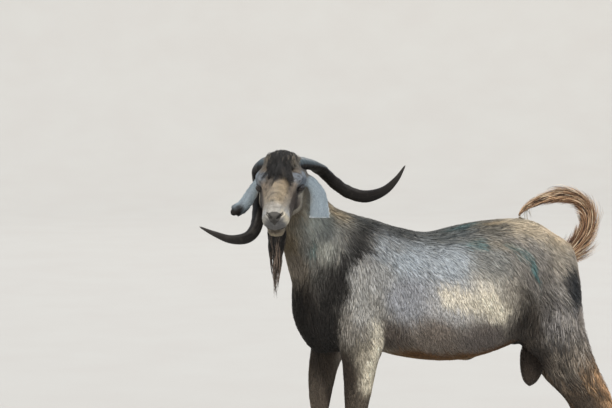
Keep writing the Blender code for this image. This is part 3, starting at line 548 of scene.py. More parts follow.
def shape_lids(points):
    """Draws the skin round each eye over the ball as two lids with a fold above them."""
    for side in (-1, 1):
        edge, reach, aim = lid_edge(points, side)
        above = smoothstep(aim @ eye_axes(side)[2] / 0.25)
        margin = LID_MARGIN * ridge(edge, 0.08, 0.07)
        fold = -LID_FOLD * above * ridge(edge, 0.30, 0.08)
        brow = BROW * above * ridge(edge, 0.54, 0.22)
        lid = np.where(edge < 0, EYE_RADIUS - 0.003, EYE_RADIUS + LID_THICK + margin + fold + brow)
        keep = smoothstep((edge - 0.22) / (0.45 + 0.45 * above))
        inside = edge < FAR
        wanted = (lid * (1 - keep) + reach * keep)[inside, None]
        points[inside] = EYES[side] + aim[inside] * wanted


def shape_muzzle(points, normals):
    """Sinks the nostrils, the mouth's line and the groove above the lip."""
    places = folded(from_head(points))
    nostril, mouth, groove = (distance_to_line(places, line) for line in (NOSTRIL, MOUTH, PHILTRUM))
    sink = NOSTRIL_SINK * smoothstep((0.0042 - nostril) / 0.0030)
    sink += MOUTH_SINK * ridge(mouth, 0, 0.0020) + GROOVE_SINK * ridge(groove, 0, 0.0018)
    swell = NOSTRIL_RIM * ridge(nostril, 0.0075, 0.0028)
    swell += LIP_SWELL * ridge(mouth, 0.0060, 0.0030)
    points += normals * (swell - sink)[:, None]


# ---- mesh tools -----------------------------------------------------------------------
def link(name, mesh):
    made = bpy.data.objects.new(name, mesh)
    bpy.context.scene.collection.objects.link(made)
    return made


def made_of(bm, name):
    """The object that a bmesh becomes."""
    mesh = bpy.data.meshes.new(name)
    bm.to_mesh(mesh)
    bm.free()
    return link(name, mesh)


def finished(made, material):
    """The same object, shaded smooth and of this material."""
    made.data.shade_smooth()
    made.data.materials.append(material)
    return made


def circle(count):
    """The angles of this many points round a circle."""
    return np.linspace(0, 2 * math.pi, count, endpoint=False)


def settle(thing):
    """Replaces the object's mesh by its mesh with every modifier worked in."""
    graph = bpy.context.evaluated_depsgraph_get()
    mesh = bpy.data.meshes.new_from_object(thing.evaluated_get(graph))
    thing.modifiers.clear()
    thing.data = mesh


def read(rows, field, width, kind=np.float32):
    """One field of a mesh's rows as a table with this many columns."""
    values = np.empty(len(rows) * width, kind)
    rows.foreach_get(field, values)
    return values.reshape(-1, width)


def places_of(mesh):
    return read(mesh.vertices, "co", 3).astype(float)


def normals_of(mesh):
    return read(mesh.vertex_normals, "vector", 3).astype(float)


def put(mesh, points):
    mesh.vertices.foreach_set("co", np.asarray(points, np.float32).ravel())
    mesh.update()


def store(mesh, name, kind, values):
    """Keeps one value for each point of the mesh under this name."""
    layer = mesh.attributes.new(name, kind, "POINT")
    values = np.asarray(values, np.float32)
    if kind == "FLOAT_COLOR":
        values = np.hstack([values, np.ones((len(values), 1), np.float32)])
    layer.data.foreach_set("color" if kind == "FLOAT_COLOR" else "vector", values.ravel())


def resample(rows, count):
    """Rows along a smooth curve through the given ones."""
    padded = np.vstack([2 * rows[0] - rows[1], rows, 2 * rows[-1] - rows[-2]])
    result = []
    for place in np.linspace(0, len(rows) - 1, count):
        index = min(int(place), len(rows) - 2)
        t = place - index
        a, b, c, d = padded[index : index + 4]
        bend = (2 * a - 5 * b + 4 * c - d) * t**2 + (3 * b - a - 3 * c + d) * t**3
        result.append(b + 0.5 * ((c - a) * t + bend))
    return np.array(result)


def loft(name, rings):
    """A closed body through rings with the same number of points, faces outwards."""
    bm = bmesh.new()
    loops = [[bm.verts.new(point) for point in ring] for ring in rings]
    count = len(loops[0])
    for near, far in zip(loops, loops[1:]):
        for k in range(count):
            after = (k + 1) % count
            bm.faces.new((near[k], near[after], far[after], far[k]))
    bm.faces.new(loops[0])
    bm.faces.new(loops[-1])
    bmesh.ops.recalc_face_normals(bm, faces=bm.faces)
    if bm.calc_volume(signed=True) < 0:
        bmesh.ops.reverse_faces(bm, faces=bm.faces)
    return made_of(bm, name)


PULL, PUSH = 0.50, -0.52


def evened(points, edges, rounds):
    """The surface evened out without being drawn in: each pull is followed by a push."""
    ends = np.concatenate([edges, edges[:, ::-1]])
    count = np.bincount(ends[:, 0], minlength=len(points))[:, None]
    for step in range(2 * rounds):
        beside = points[ends[:, 1]]
        sums = [np.bincount(ends[:, 0], beside[:, k], len(points)) for k in range(3)]
        pull = np.stack(sums, axis=1) / count - points
        points = points + pull * (PULL if step % 2 == 0 else PUSH)
    return points


# ---- skin -----------------------------------------------------------------------------
FLESH = ("trunk", "neck", "head", "scrotum", "ear_left", "ear_right")
FLESH += ("leg_fore_left", "leg_fore_right", "leg_hind_left", "leg_hind_right")
MERGE = 1e-5
OVERLAP = 0.0008  # each solid grows by this, so that the thin cuts between them close
VOXEL = 0.0094
ZOOM, ZOOM_REACH = 2.9, 0.20  # the head is drawn this much larger while it is remeshed
TRUNK_ROUNDS, HEAD_ROUNDS = 14, 4  # how often each is evened out
HEAD_END, NECK_BLEND = 0.15, 0.10  # the head's rounds change to the trunk's between these
CURLED_TIP, CURLED_HALF = (0.021, -0.126, -0.069), 0.010  # the right ear's end is rolled up
HORN_SEAT = 0.003  # how far the flesh stands round the root of a horn
CORONET_PAD = metres([  # above the top of the hoof, front and back from the toe, half breadth
    (-14, 18, 74, 22.5),
    (-5, 11, 81, 27),
    (3, 9, 83, 29),
    (11, 15, 86, 28.5),
    (21, 24, 90, 26.8),
    (34, 32, 94, 25),
])

# Horns, in head places: ahead, left, up, half breadth, half thickness
LEFT_HORN = metres([
    (-68, 26, 26, 27, 20),
    (-88, 52, 21, 27, 17),
    (-115, 77, 0, 27, 14),
    (-136, 100, -30, 26, 13),
    (-138, 132, -66, 23, 13),
    (-125, 167, -86, 21, 12),
    (-105, 215, -89, 19, 11),
    (-90, 266, -64, 13, 9),
    (-83, 302, -24, 8, 6),
    (-90, 327, 16, 2, 2),
])
RIGHT_HORN = metres([
    (-68, -26, 28, 27, 20),
    (-93, -54, 14, 27, 17),
    (-115, -74, -20, 28, 15),
    (-112, -74, -56, 27, 15),
    (-88, -73, -90, 25, 16),
    (-44, -71, -121, 23, 17),
    (-8, -77, -140, 21, 16),
    (18, -98, -150, 18, 13),
    (34, -138, -145, 13, 10),
    (38, -182, -125, 8, 6),
    (37, -219, -105, 2, 2),
])


def stretched(points):
    """Draws the head larger about its middle, so that its mesh comes out finer."""
    offset = points - HEAD
    reach = np.linalg.norm(offset, axis=1)
    grow = 1 + (ZOOM - 1) * np.minimum(reach, ZOOM_REACH) / np.maximum(reach, 1e-9)
    return HEAD + offset * grow[:, None]


def relaxed(points):
    """Undoes stretched."""
    offset = points - HEAD
    reach = np.linalg.norm(offset, axis=1)
    inner = reach / ZOOM
    true = np.where(inner < ZOOM_REACH, inner, reach - (ZOOM - 1) * ZOOM_REACH)
    return HEAD + offset * (true / reach)[:, None]


def tail_core():
    """The tail inside its hair."""
    rows = resample(TAIL, 24)
    turns = circle(12)[:, None]
    rings = []
    for index, (back, up, half, _) in enumerate(rows):
        step = rows[min(index + 1, len(rows) - 1)] - rows[max(index - 1, 0)]
        outward = unit((-step[1], 0, step[0])) * np.sin(turns) + np.cos(turns) * (0, 1, 0)
        rings.append(MIDDLE + (back, 0, up) + half * outward)
    return loft("tail_core", rings)


def plug(centre, half):
    """A ball that fills a socket left in the flesh by an eye or a horn."""
    bm = bmesh.new()
    bmesh.ops.create_icosphere(bm, subdivisions=3, radius=half)
    bmesh.ops.translate(bm, verts=bm.verts, vec=Vector(centre))
    return made_of(bm, "plug")


def hoof_box(foot):
    """The lowest and highest corners of a foot's two claws together."""
    boxes = [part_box(f"claw_{foot}_{word}") for word in ("inner", "outer")]
    corners = np.array([list(corner) for box in boxes for corner in box])
    return corners.min(0), corners.max(0)


def coronet_pad(foot):
    """The swelling that the foot's two claws grow from, reaching a little way into them."""
    low, high = hoof_box(foot)
    slope = (CORONET_FRONT - CORONET_BACK) / (high[0] - low[0])
    ways = np.cos(circle(28)), np.sin(circle(28))
    round_off = [np.sign(way) * np.abs(way) ** 0.8 for way in ways]
    rings = []
    for rise, front, back, half in CORONET_PAD:
        x = (front + back) / 2 + (back - front) / 2 * round_off[0]
        y = (low[1] + high[1]) / 2 + half * round_off[1]
        rings.append(np.stack([low[0] + x, y, CORONET_FRONT - slope * x + rise], axis=1))
    return loft("coronet_pad", rings)


def flesh():
    """All the flesh as overlapping closed shells in one mesh."""
    bm = bmesh.new()
    for name in FLESH:
        part = bmesh.new()
        part.from_mesh(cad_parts[name].data)
        bmesh.ops.remove_doubles(part, verts=part.verts, dist=MERGE)
        part.normal_update()
        for vertex in part.verts:
            vertex.co += vertex.normal * OVERLAP
        mesh = bpy.data.meshes.new(name)
        part.to_mesh(mesh)
        part.free()
        bm.from_mesh(mesh)
        bpy.data.meshes.remove(mesh)
    fillers = [tail_core()]
    fillers += [plug(EYES[side], EYE_RADIUS + OVERLAP) for side in EYES]
    fillers += [coronet_pad(foot) for foot in DEWCLAWS]
    fillers.append(plug(on_head(CURLED_TIP), CURLED_HALF))
    for rows in (LEFT_HORN, RIGHT_HORN):
        for row in resample(rows[:3], 5)[:2]:
            fillers.append(plug(on_head(row[:3]), row[4] + HORN_SEAT))
    for filler in fillers:
        bm.from_mesh(filler.data)
        bpy.data.objects.remove(filler)
    return made_of(bm, "skin")


def edges_of(mesh):
    return read(mesh.edges, "vertices", 2, np.int32)


def refine(mesh, wanted):
    """Halves the edges of the faces whose middles are wanted."""
    chosen = np.nonzero(wanted(read(mesh.polygons, "center", 3).astype(float)))[0]
    bm = bmesh.new()
    bm.from_mesh(mesh)
    bm.faces.ensure_lookup_table()
    edges = {edge for index in chosen for edge in bm.faces[index].edges}
    bmesh.ops.subdivide_edges(bm, edges=list(edges), cuts=1, use_grid_fill=True)
    bm.to_mesh(mesh)
    bm.free()


EYE_PATCH, SKULL_HALF = 0.024, 0.036  # the finer skin round an eye, outside the skull
MUZZLE_START, MUZZLE_END, MUZZLE_LOW = 0.100, 0.20, -0.075
OPENING_EDGE = 0.009


def round_the_eyes(points):
    near = [np.linalg.norm(points - EYES[side], axis=1) < EYE_PATCH for side in EYES]
    outside = np.abs(from_head(points)[:, 1]) > SKULL_HALF
    return (near[0] | near[1]) & outside


def on_the_muzzle(points):
    head = from_head(points)
    near = np.linalg.norm(head, axis=1) < MUZZLE_END
    return near & (head[:, 0] > MUZZLE_START) & (head[:, 2] > MUZZLE_LOW)


def on_the_openings(points):
    return from_openings(folded(from_head(points))) < OPENING_EDGE


def make_skin():
    """One skin over all the flesh, lower than it by the coat's depth, finer on the face."""
    skin = flesh()
    put(skin.data, stretched(places_of(skin.data)))
    remesh = skin.modifiers.new("remesh", "REMESH")
    remesh.mode = "VOXEL"
    remesh.voxel_size = VOXEL
    settle(skin)
    mesh = skin.data
    edges = edges_of(mesh)
    fine = evened(relaxed(places_of(mesh)), edges, HEAD_ROUNDS)
    broad = evened(fine, edges, TRUNK_ROUNDS - HEAD_ROUNDS)
    reach = np.linalg.norm(fine - HEAD, axis=1)
    points = fine + (broad - fine) * smoothstep((reach - HEAD_END) / NECK_BLEND)[:, None]
    put(mesh, points)
    depth = chart_at(points)[:, DEPTH] / 1000
    put(mesh, points - normals_of(mesh) * depth[:, None])
    for wanted in (round_the_eyes, round_the_eyes, on_the_muzzle, on_the_openings):
        refine(mesh, wanted)
    points = places_of(mesh)
    even = evened(points, edges_of(mesh), 2)
    near = (round_the_eyes(points) | on_the_muzzle(points))[:, None]
    put(mesh, np.where(near, even, points))
    points = places_of(mesh)
    shape_lids(points)
    shape_muzzle(points, normals_of(mesh))
    put(mesh, points)
    mesh.shade_smooth()
    skin.name = mesh.name = "skin"
    return skin


def unwrap(thing):
    """Unwraps the mesh's own shape into the map that bakes use."""
    bpy.ops.object.select_all(action="DESELECT")
    thing.select_set(True)
    bpy.context.view_layer.objects.active = thing
    bpy.ops.object.mode_set(mode="EDIT")
    bpy.ops.mesh.select_all(action="SELECT")
    bpy.ops.uv.smart_project(angle_limit=math.radians(66), island_margin=0.002)
    bpy.ops.object.mode_set(mode="OBJECT")
    thing.data.uv_layers[0].name = "OFBake"


# ---- coat -----------------------------------------------------------------------------
LOCKS = 122000
MOST_LOCKS = 19500  # in one piece, at ten triangles a lock
PATCH = 0.003  # each lock's patch on the map
ROOT_SINK = 0.0008
CROSS = np.array([(-0.5, -0.08), (0.5, -0.08), (0.0, 0.17)])  # a lock's section over its width


def lock_faces(rings):
    """Faces of one lock with this many rings and a tip, and where their corners unroll to."""
    faces = [(2, 1, 0)]
    unrolled = [(0.33, -0.02), (0.16, -0.12), (0.0, -0.02)]
    for ring in range(rings - 1):
        for side in range(3):
            a, b = ring * 3 + side, ring * 3 + (side + 1) % 3
            faces.append((a, b, b + 3, a + 3))
            low, high = ring / rings, (ring + 1) / rings
            left, right = side / 3, (side + 1) / 3
            unrolled += [(left, low), (right, low), (right, high), (left, high)]
    for side in range(3):
        a, b = rings * 3 - 3 + side, rings * 3 - 3 + (side + 1) % 3
        faces.append((a, b, rings * 3))
        low = (rings - 1) / rings
        unrolled += [(side / 3, low), ((side + 1) / 3, low), ((side + 0.5) / 3, 1.0)]
    return faces, np.array(unrolled)


def make_locks(name, spines, across, out, widths, colours, shades, spots, material):
    """One piece of closed, three-sided, pointed locks along their spines."""
    count, knots = spines.shape[:2]
    rings = knots - 1
    faces, unrolled = lock_faces(rings)
    sideways = CROSS[:, 0, None] * across[:, :, None] + CROSS[:, 1, None] * out[:, :, None]
    ring = spines[:, :rings, None] + widths[:, :, None, None] * sideways
    points = np.concatenate([ring.reshape(count, rings * 3, 3), spines[:, -1:]], axis=1)
    corners = np.array(list(itertools.chain(*faces)))
    starts = np.cumsum([0] + [len(face) for face in faces[:-1]])
    every = np.arange(count)[:, None]
    corners_all = corners + every * points.shape[1]
    starts_all = starts + every * len(corners)
    mesh = bpy.data.meshes.new(name)
    mesh.vertices.add(count * points.shape[1])
    mesh.loops.add(count * len(corners))
    mesh.polygons.add(count * len(faces))
    mesh.vertices.foreach_set("co", points.astype(np.float32).ravel())
    mesh.loops.foreach_set("vertex_index", corners_all.astype(np.int32).ravel())
    mesh.polygons.foreach_set("loop_start", starts_all.astype(np.int32).ravel())
    mesh.update(calc_edges=True)
    # each lock's grain starts at a place of its own, which the remainders give
    own = np.hstack([every % 97, every % 89])[:, None]
    maps = {"OFBake": spots[:, None] + (unrolled - 0.5) * PATCH, "Strand": unrolled + own}
    for title, places in maps.items():
        layer = mesh.uv_layers.new(name=title)
        layer.data.foreach_set("uv", places.astype(np.float32).ravel())
    # painted shade towards the root and painted light towards the tip, ring by ring
    steps = np.repeat(np.asarray(shades[:rings]), 3).tolist() + [shades[rings]]
    tints = colours[:, None] * np.array(steps)[None, :, None]
    store(mesh, "coat_colour", "FLOAT_COLOR", np.clip(tints, 0, 1).reshape(-1, 3))
    return finished(link(name, mesh), material)


def ground_of(mesh):
    """The skin's points, triangles, their places on the map and areas, and a tree of them."""
    mesh.calc_loop_triangles()
    corners = read(mesh.loop_triangles, "vertices", 3, np.int32)
    loops = read(mesh.loop_triangles, "loops", 3, np.int32)
    spots = read(mesh.uv_layers["OFBake"].data, "uv", 2)[loops]
    points = places_of(mesh)
    a, b, c = (points[corners[:, k]] for k in range(3))
    areas = np.linalg.norm(np.cross(b - a, c - a), axis=1) / 2
    return points, corners, spots, areas, BVHTree.FromPolygons(points.tolist(), corners.tolist())


def bare(points):
    """1 where hair grows, down to 0 on the nose, lips, nostrils and lids."""
    places = folded(from_head(points))
    free = smoothstep((from_openings(places) - 0.004) / 0.002) * (1 - on_nose(places))
    return free * smoothstep((outside_lids(points) - 0.16) / 0.12)


def follow(tree, points):
    """The nearest places of the skin and the way it faces there."""
    places, facing = np.empty_like(points), np.empty_like(points)
    for index, point in enumerate(points.tolist()):
        place, normal, _, _ = tree.find_nearest(point)
        places[index], facing[index] = place, normal
    return places, facing


def flat(vectors, normals):
    """The vectors laid in the plane across the normals, as unit vectors."""
    return unit(vectors - normals * (vectors * normals).sum(1, keepdims=True))


def spots_at(ground, places):
    """Where the skin nearest these places lies on the map."""
    _, _, spots, _, tree = ground
    return np.array([spots[tree.find_nearest(place)[2]].mean(0) for place in places.tolist()])


def grow_locks(mesh, ground, chart):
    """Roots over the whole skin, and a lock hugging it from each of them."""
    points, corners, spots, areas, tree = ground
    thick = chart[:, COVER] / (chart[:, LOCK] * chart[:, HAIR]) * bare(points)
    wanted = np.cumsum(thick[corners].mean(1) * areas)
    picks = (np.arange(LOCKS) + rng.random(LOCKS)) * wanted[-1] / LOCKS
    face = np.minimum(np.searchsorted(wanted, picks), len(corners) - 1)
    share = rng.random((LOCKS, 2))
    share = np.where(share.sum(1, keepdims=True) > 1, 1 - share, share)
    share = np.hstack([1 - share.sum(1, keepdims=True), share])[:, :, None]
    picked = corners[face]
    roots = (points[picked] * share).sum(1)
    values = (chart[picked] * share).sum(1)
    normals = unit((normals_of(mesh)[picked] * share).sum(1))
    spots = (spots[face] * share).sum(1)
    # lengths are 0.70 to 1.25 of the chart's, widths 0.70 to 1.30
    length = values[:, HAIR] / 1000 * (0.70 + 0.55 * rng.random(LOCKS))
    depth = values[:, DEPTH] / 1000
    width = values[:, LOCK] / 1000 * (0.70 + 0.60 * rng.random(LOCKS))
    length *= 0.85 + 0.3 * noise(roots, 0.03, 11)
    lie = flat(values[:, LIE], normals)
    beside = np.cross(normals, lie)
    loose = values[:, CLUMP]
    swirl = (noise(roots, 0.045, 5) - 0.5) * (0.25 + 0.65 * loose) + rng.normal(0, 0.08, LOCKS)
    lie = unit(lie + beside * swirl[:, None])
    middle, facing = follow(tree, roots + lie * length[:, None] * 0.5)
    onward = flat(lie + beside * rng.normal(0, 0.10, LOCKS)[:, None], facing)
    end, end_facing = follow(tree, middle + onward * length[:, None] * 0.5)
    # how high the middle and the tip stand, as shares of the coat's depth
    rise = 0.34 + (0.22 + 0.30 * loose) * rng.random(LOCKS)
    tip_rise = 0.25 + (0.40 + 0.40 * loose) * rng.random(LOCKS) ** 1.5
    middle = middle + facing * (depth * rise)[:, None]
    end = end + end_facing * (depth * tip_rise)[:, None]
    leader = leaders_of(roots)
    end = gather_tips(leader, end, values[:, CLUMP], length)
    start = roots - normals * ROOT_SINK
    spines = np.stack([start, middle, end], axis=1)
    across = np.stack([unit(np.cross(normals, lie)), unit(np.cross(facing, onward))], axis=1)
    out = np.stack([normals, facing], axis=1)
    widths = width[:, None] * np.array([0.70, 1.0])
    colours = tint(roots, values, lie, length, leader)
    return roots, spines, across, out, widths, colours, spots


TUFT_SIZE = 9  # locks


def leaders_of(roots):
    """For each root, the nearest of the roots that lead a tuft."""
    leaders = np.arange(0, len(roots), TUFT_SIZE)
    tree = KDTree(len(leaders))
    for index, leader in enumerate(leaders):
        tree.insert(roots[leader], index)
    tree.balance()
    return leaders[np.array([tree.find(root)[1] for root in roots.tolist()])]


def gather_tips(leader, tips, clump, length):
    """Draws the tips of a tuft together, more where the chart clumps the hair."""
    offset = tips[leader] - tips
    reach = np.linalg.norm(offset, axis=1)
    pull = 0.75 * clump * smoothstep(1.3 - reach / length)
    return tips + offset * pull[:, None]


LOCK_FRAY, SKIN_FRAY = 0.45, 0.40  # how far the edges of the strokes fray
STRAYS, PALE_STRAY = 0.07, "d9d0bf"  # share of long hair that strays, each way
DARK_COAT = 0.10  # no pale strays grow where the coat is darker than this


def tint(roots, values, lie, length, leader):
    """Each lock's colour: the markings, uneven from lock to lock, with paler and darker strays."""
    count = len(roots)
    slip = lie * (length * rng.uniform(-0.35, 0.15, count))[:, None]
    colour = markings(roots + slip, values, LOCK_FRAY)
    patchy = 0.94 + 0.12 * noise(roots, 0.020, 21)
    tuft = rng.normal(0, 1, count)[leader] * (0.06 + 0.26 * values[:, CLUMP] ** 2)
    long = smoothstep((values[:, HAIR] - 4) / 16)
    own = rng.normal(0, 0.05, count) + 0.06 * long * rng.normal(0, 1, count)
    colour *= (patchy**long * np.exp(own + tuft))[:, None]
    stray = rng.random(count)
    pale = (stray < STRAYS * long) & (colour.mean(1) > DARK_COAT)
    dark = stray > 1 - STRAYS * long
    shaggy = (0.5 + values[:, CLUMP])[:, None]
    colour[pale] += 0.20 * shaggy[pale] * (linear(PALE_STRAY) - colour[pale])
    colour[dark] *= 1 - 0.30 * shaggy[dark]
    return colour


REGIONS = ("head", "tail", "hind_legs", "fore_legs", "neck", "left_side", "right_side")
PAINTED_ROOT_SHADE_TIP_LIGHT = (0.86, 1.0, 1.05)  # painted shade at the root and painted light at the tip: root, middle and tip of a lock, against its colour


def region_of(roots):
    """The number in REGIONS of the piece that each root belongs to."""
    (back, out, up), head = (roots - MIDDLE).T, from_head(roots)
    tests = [
        (np.linalg.norm(head, axis=1) < 0.19) & (head[:, 0] > -0.10 + 0.4 * np.minimum(head[:, 2], 0)),
        (back > 0.385) & (up > 0.64) | (back > 0.24) & (up > 0.77),
        (back > 0.15) & (up < 0.46),
        (back < -0.15) & (up < 0.44),
        back * -0.66 + up * 0.75 > 0.66,
        out < 0,
    ]
    return np.select(tests, range(len(tests)), len(tests))


def make_coat(skin, ground, chart, material):
    """The coat's pieces, region by region."""
    roots, *rows, spots = grow_locks(skin.data, ground, chart)
    region = region_of(roots)
    pieces = []
    for index, name in enumerate(REGIONS):
        members = np.nonzero(region == index)[0]
        members = members[np.argsort(roots[members, 0], kind="stable")]
        parts = max(1, math.ceil(len(members) / MOST_LOCKS))
        for number, part in enumerate(np.array_split(members, parts)):
            title = f"coat_{name}_{number + 1}" if parts > 1 else f"coat_{name}"
            picked = (row[part] for row in rows)
            pieces.append(make_locks(title, *picked, PAINTED_ROOT_SHADE_TIP_LIGHT, spots[part], material))
    return pieces


# ---- beard, forelock and tail ---------------------------------------------------------
# colours to mix, painted shade and light from root to tip (darker at the root, lighter at the tip),
# least lock width and how much wider locks may be
LONG_HAIR = {
    "beard": ("100e0c 231e1a 75665a 9c8f82", (0.32, 0.50, 0.85, 1.10, 1.25), 0.0012, 0.0009),
    "forelock": ("151413 292725 6b6357 8f8676", (0.6, 0.9, 1.05, 1.15, 1.25), 0.0007, 0.0006),
    "tail_brush": ("46342a 8a674c c2a280 dcc8aa", (0.55, 0.85, 1.0, 1.12, 1.2), 0.0015, 0.0012),
}


def mixed_colours(names, shares):
    """One of these colours for each row of shares, picked by its odds, and made uneven."""
    shades = np.array([linear(name) for name in names])
    odds = np.cumsum(shares, axis=1) / shares.sum(1, keepdims=True)
    pick = np.minimum((rng.random((len(shares), 1)) > odds).sum(1), len(names) - 1)
    return shades[pick] * np.exp(rng.normal(0, 0.20, len(shares)))[:, None]


def brush(name, ground, spines, out, shares, material):
    """Long locks along spines of many knots, each tapering to its point."""
    tones, shades, least, more = LONG_HAIR[name]
    colours = mixed_colours(tones.split(), shares)
    width = least + more * rng.random(len(spines))
    knots = np.linspace(0, 1, spines.shape[1])
    along, out = np.diff(spines, axis=1), out[:, :-1]
    lean = (out * along).sum(2, keepdims=True) / (along**2).sum(2, keepdims=True)
    out = unit(out - along * lean)
    across = unit(np.cross(out, along))
    widths = width[:, None] * np.sqrt(np.clip(1.06 - knots[:-1], 0, 1))
    # painted shade towards the root and painted light towards the tip
    shading = np.interp(knots, np.linspace(0, 1, len(shades)), shades)
    spots = spots_at(ground, spines[:, 0])
    return make_locks(f"coat_{name}", spines, across, out, widths, colours, shading, spots, material)


BEARD_ROOT = (0.128, 0.0, -0.052)
BEARD = metres([  # drop, half width, half depth of the hanging hair
    (0, 24, 30),
    (22, 26, 27),
    (50, 26, 22),
    (68, 23, 18),
    (95, 17, 14),
    (122, 11, 10),
    (140, 7, 7),
    (158, 4, 4),
    (190, 1, 1),
])
BEARD_LOCKS, BEARD_KNOTS, BEARD_TUFTS = 1300, 9, 15
BEARD_LEAST, BEARD_MORE = 0.040, 0.130  # how far the locks drop
BEARD_WISP, BEARD_END = 0.180, 0.188  # drops of the few longest locks
BEARD_START = 0.016  # the locks start within this drop
WAVE_HIGH, WAVES, DRIFT = 0.0030, 55, 0.003  # waves, their angle in a metre, sideways drift


def make_beard(ground, material):
    """Long locks hanging straight down from the chin and drawing together to a wisp."""
    count, longest = BEARD_LOCKS, BEARD_LOCKS // 40
    fore = np.array([LEFT[1], -LEFT[0], 0])
    tuft = rng.integers(0, BEARD_TUFTS, count)
    middles = circle(BEARD_TUFTS)[tuft]
    angle = middles + rng.normal(0, 0.60, count)
    radius = np.sqrt(rng.random(count))
    drop = BEARD_LEAST + BEARD_MORE * rng.random(count) ** 2.0
    drop[:longest] = BEARD_WISP + (BEARD_END - BEARD_WISP) * rng.random(longest)
    start = BEARD_START * rng.random(count)
    tuft_angle = middles + rng.normal(0, 0.13, count)
    # the whole numbers shuffle the tufts, so that neighbours differ
    tuft_radius = np.linspace(0.35, 0.95, BEARD_TUFTS)[(tuft * 7) % BEARD_TUFTS]
    drop *= np.linspace(0.80, 1.08, BEARD_TUFTS)[(tuft * 4) % BEARD_TUFTS]
    drop = np.minimum(drop, BEARD_END)
    spines = np.empty((count, BEARD_KNOTS, 3))
    phase = 0.9 * tuft + rng.normal(0, 0.5, count)
    for knot in range(BEARD_KNOTS):
        share = knot / (BEARD_KNOTS - 1)
        down = start + (drop - start) * share
        half, deep = (np.interp(down, BEARD[:, 0], BEARD[:, column]) for column in (1, 2))
        turn = angle + (tuft_angle - angle) * min(1.5 * share, 0.95)
        spread = radius + (tuft_radius - radius) * min(1.5 * share, 0.92)
        wave = WAVE_HIGH * np.sin(phase + down * WAVES) * (down / 0.1) - DRIFT * (down / 0.15) ** 2
        side = (np.cos(turn) * spread * half + wave)[:, None] * LEFT
        front = (np.sin(turn) * spread * deep)[:, None] * fore
        spines[:, knot] = on_head(BEARD_ROOT) + side + front
        spines[:, knot, 2] -= down
    outward = unit(np.cos(angle)[:, None] * LEFT + np.sin(angle)[:, None] * fore)
    out = np.repeat(outward[:, None], BEARD_KNOTS, axis=1)
    brown = smoothstep((drop - 0.070) / 0.060) * (0.4 + 0.6 * (tuft % 3 > 0))
    pale = 0.55 * smoothstep((drop - 0.085) / 0.050) * (tuft % 4 == 1)
    shares = np.stack([1.25 - brown, 0.45 + 0 * brown, 0.8 * brown, pale], axis=1)
    return brush("beard", ground, spines, out, shares, material)


FORELOCK_LOCKS, FORELOCK_KNOTS, FORELOCK_TUFTS = 3300, 7, 72
FORELOCK_LONG, FORELOCK_LIFT = (0.040, 0.088), (0.003, 0.011)
CROWN, CROWN_LONG, CROWN_BROAD = -0.052, 0.046, 0.039  # the oval it grows from, head place
CROWN_UP = 0.075  # above the skin there
PARTING = 0.003  # tufts this near to the middle are the longest
SPLAY = 15.0  # how far the tufts turn outwards, in radians a metre from the middle


def make_forelock(ground, material):
    """Long hair that falls from the poll over the brow and out to both sides, in tufts."""
    tree = ground[-1]
    count = FORELOCK_LOCKS
    turn, reach = rng.uniform(0, 2 * math.pi, count), np.sqrt(rng.random(count))
    ahead, left = CROWN + CROWN_LONG * reach * np.cos(turn), CROWN_BROAD * reach * np.sin(turn)
    place, facing = follow(tree, on_head(np.stack([ahead, left, np.full(count, CROWN_UP)], axis=1)))
    gaps = (way[:, None] - way[None, :FORELOCK_TUFTS] for way in (ahead, left))
    tuft = np.hypot(*gaps).argmin(1)
    splay = SPLAY * left[tuft] + rng.normal(0, 0.30, FORELOCK_TUFTS)[tuft]
    splay += rng.normal(0, 0.10, count)
    aim = np.stack([np.cos(splay), np.sin(splay), 0 * splay], axis=1) @ HEAD_AXES
    middle = 1.16 - 0.76 * smoothstep((np.abs(left[tuft]) - PARTING) / 0.026)
    long = rng.uniform(*FORELOCK_LONG, FORELOCK_TUFTS)[tuft] * middle
    long *= rng.uniform(0.70, 1.1, count)
    lift = rng.uniform(*FORELOCK_LIFT, count)
    spines, out = np.empty((count, FORELOCK_KNOTS, 3)), np.empty((count, FORELOCK_KNOTS, 3))
    for knot in range(FORELOCK_KNOTS):
        share = knot / (FORELOCK_KNOTS - 1)
        height = lift * math.sin(math.pi * (0.08 + 0.78 * share)) - ROOT_SINK * (knot == 0)
        spines[:, knot], out[:, knot] = place + facing * height[:, None], facing
        step = flat(aim, facing) * (long / (FORELOCK_KNOTS - 1))[:, None]
        place, facing = follow(tree, place + step)
    draw = (np.linspace(0, 1, FORELOCK_KNOTS) ** 1.4 * 0.66)[None, :, None]
    spines += draw * (spines[tuft] - spines)
    tan = 0.05 + 0.85 * smoothstep((np.abs(left) - 0.018) / 0.018) * (tuft % 3 > 0)
    shares = np.stack([1.1 - tan, 1.1 - tan, 0.8 * tan, 0.35 * tan], axis=1)
    return brush("forelock", ground, spines, out, shares, material)


TAIL_LOCKS, TAIL_KNOTS = 3600, 6
TAIL_LOCK_LONG = (0.045, 0.078)
TAIL_DROOP = 0.004
TAIL_FLATNESS = 0.80  # the hair's breadth against its thickness


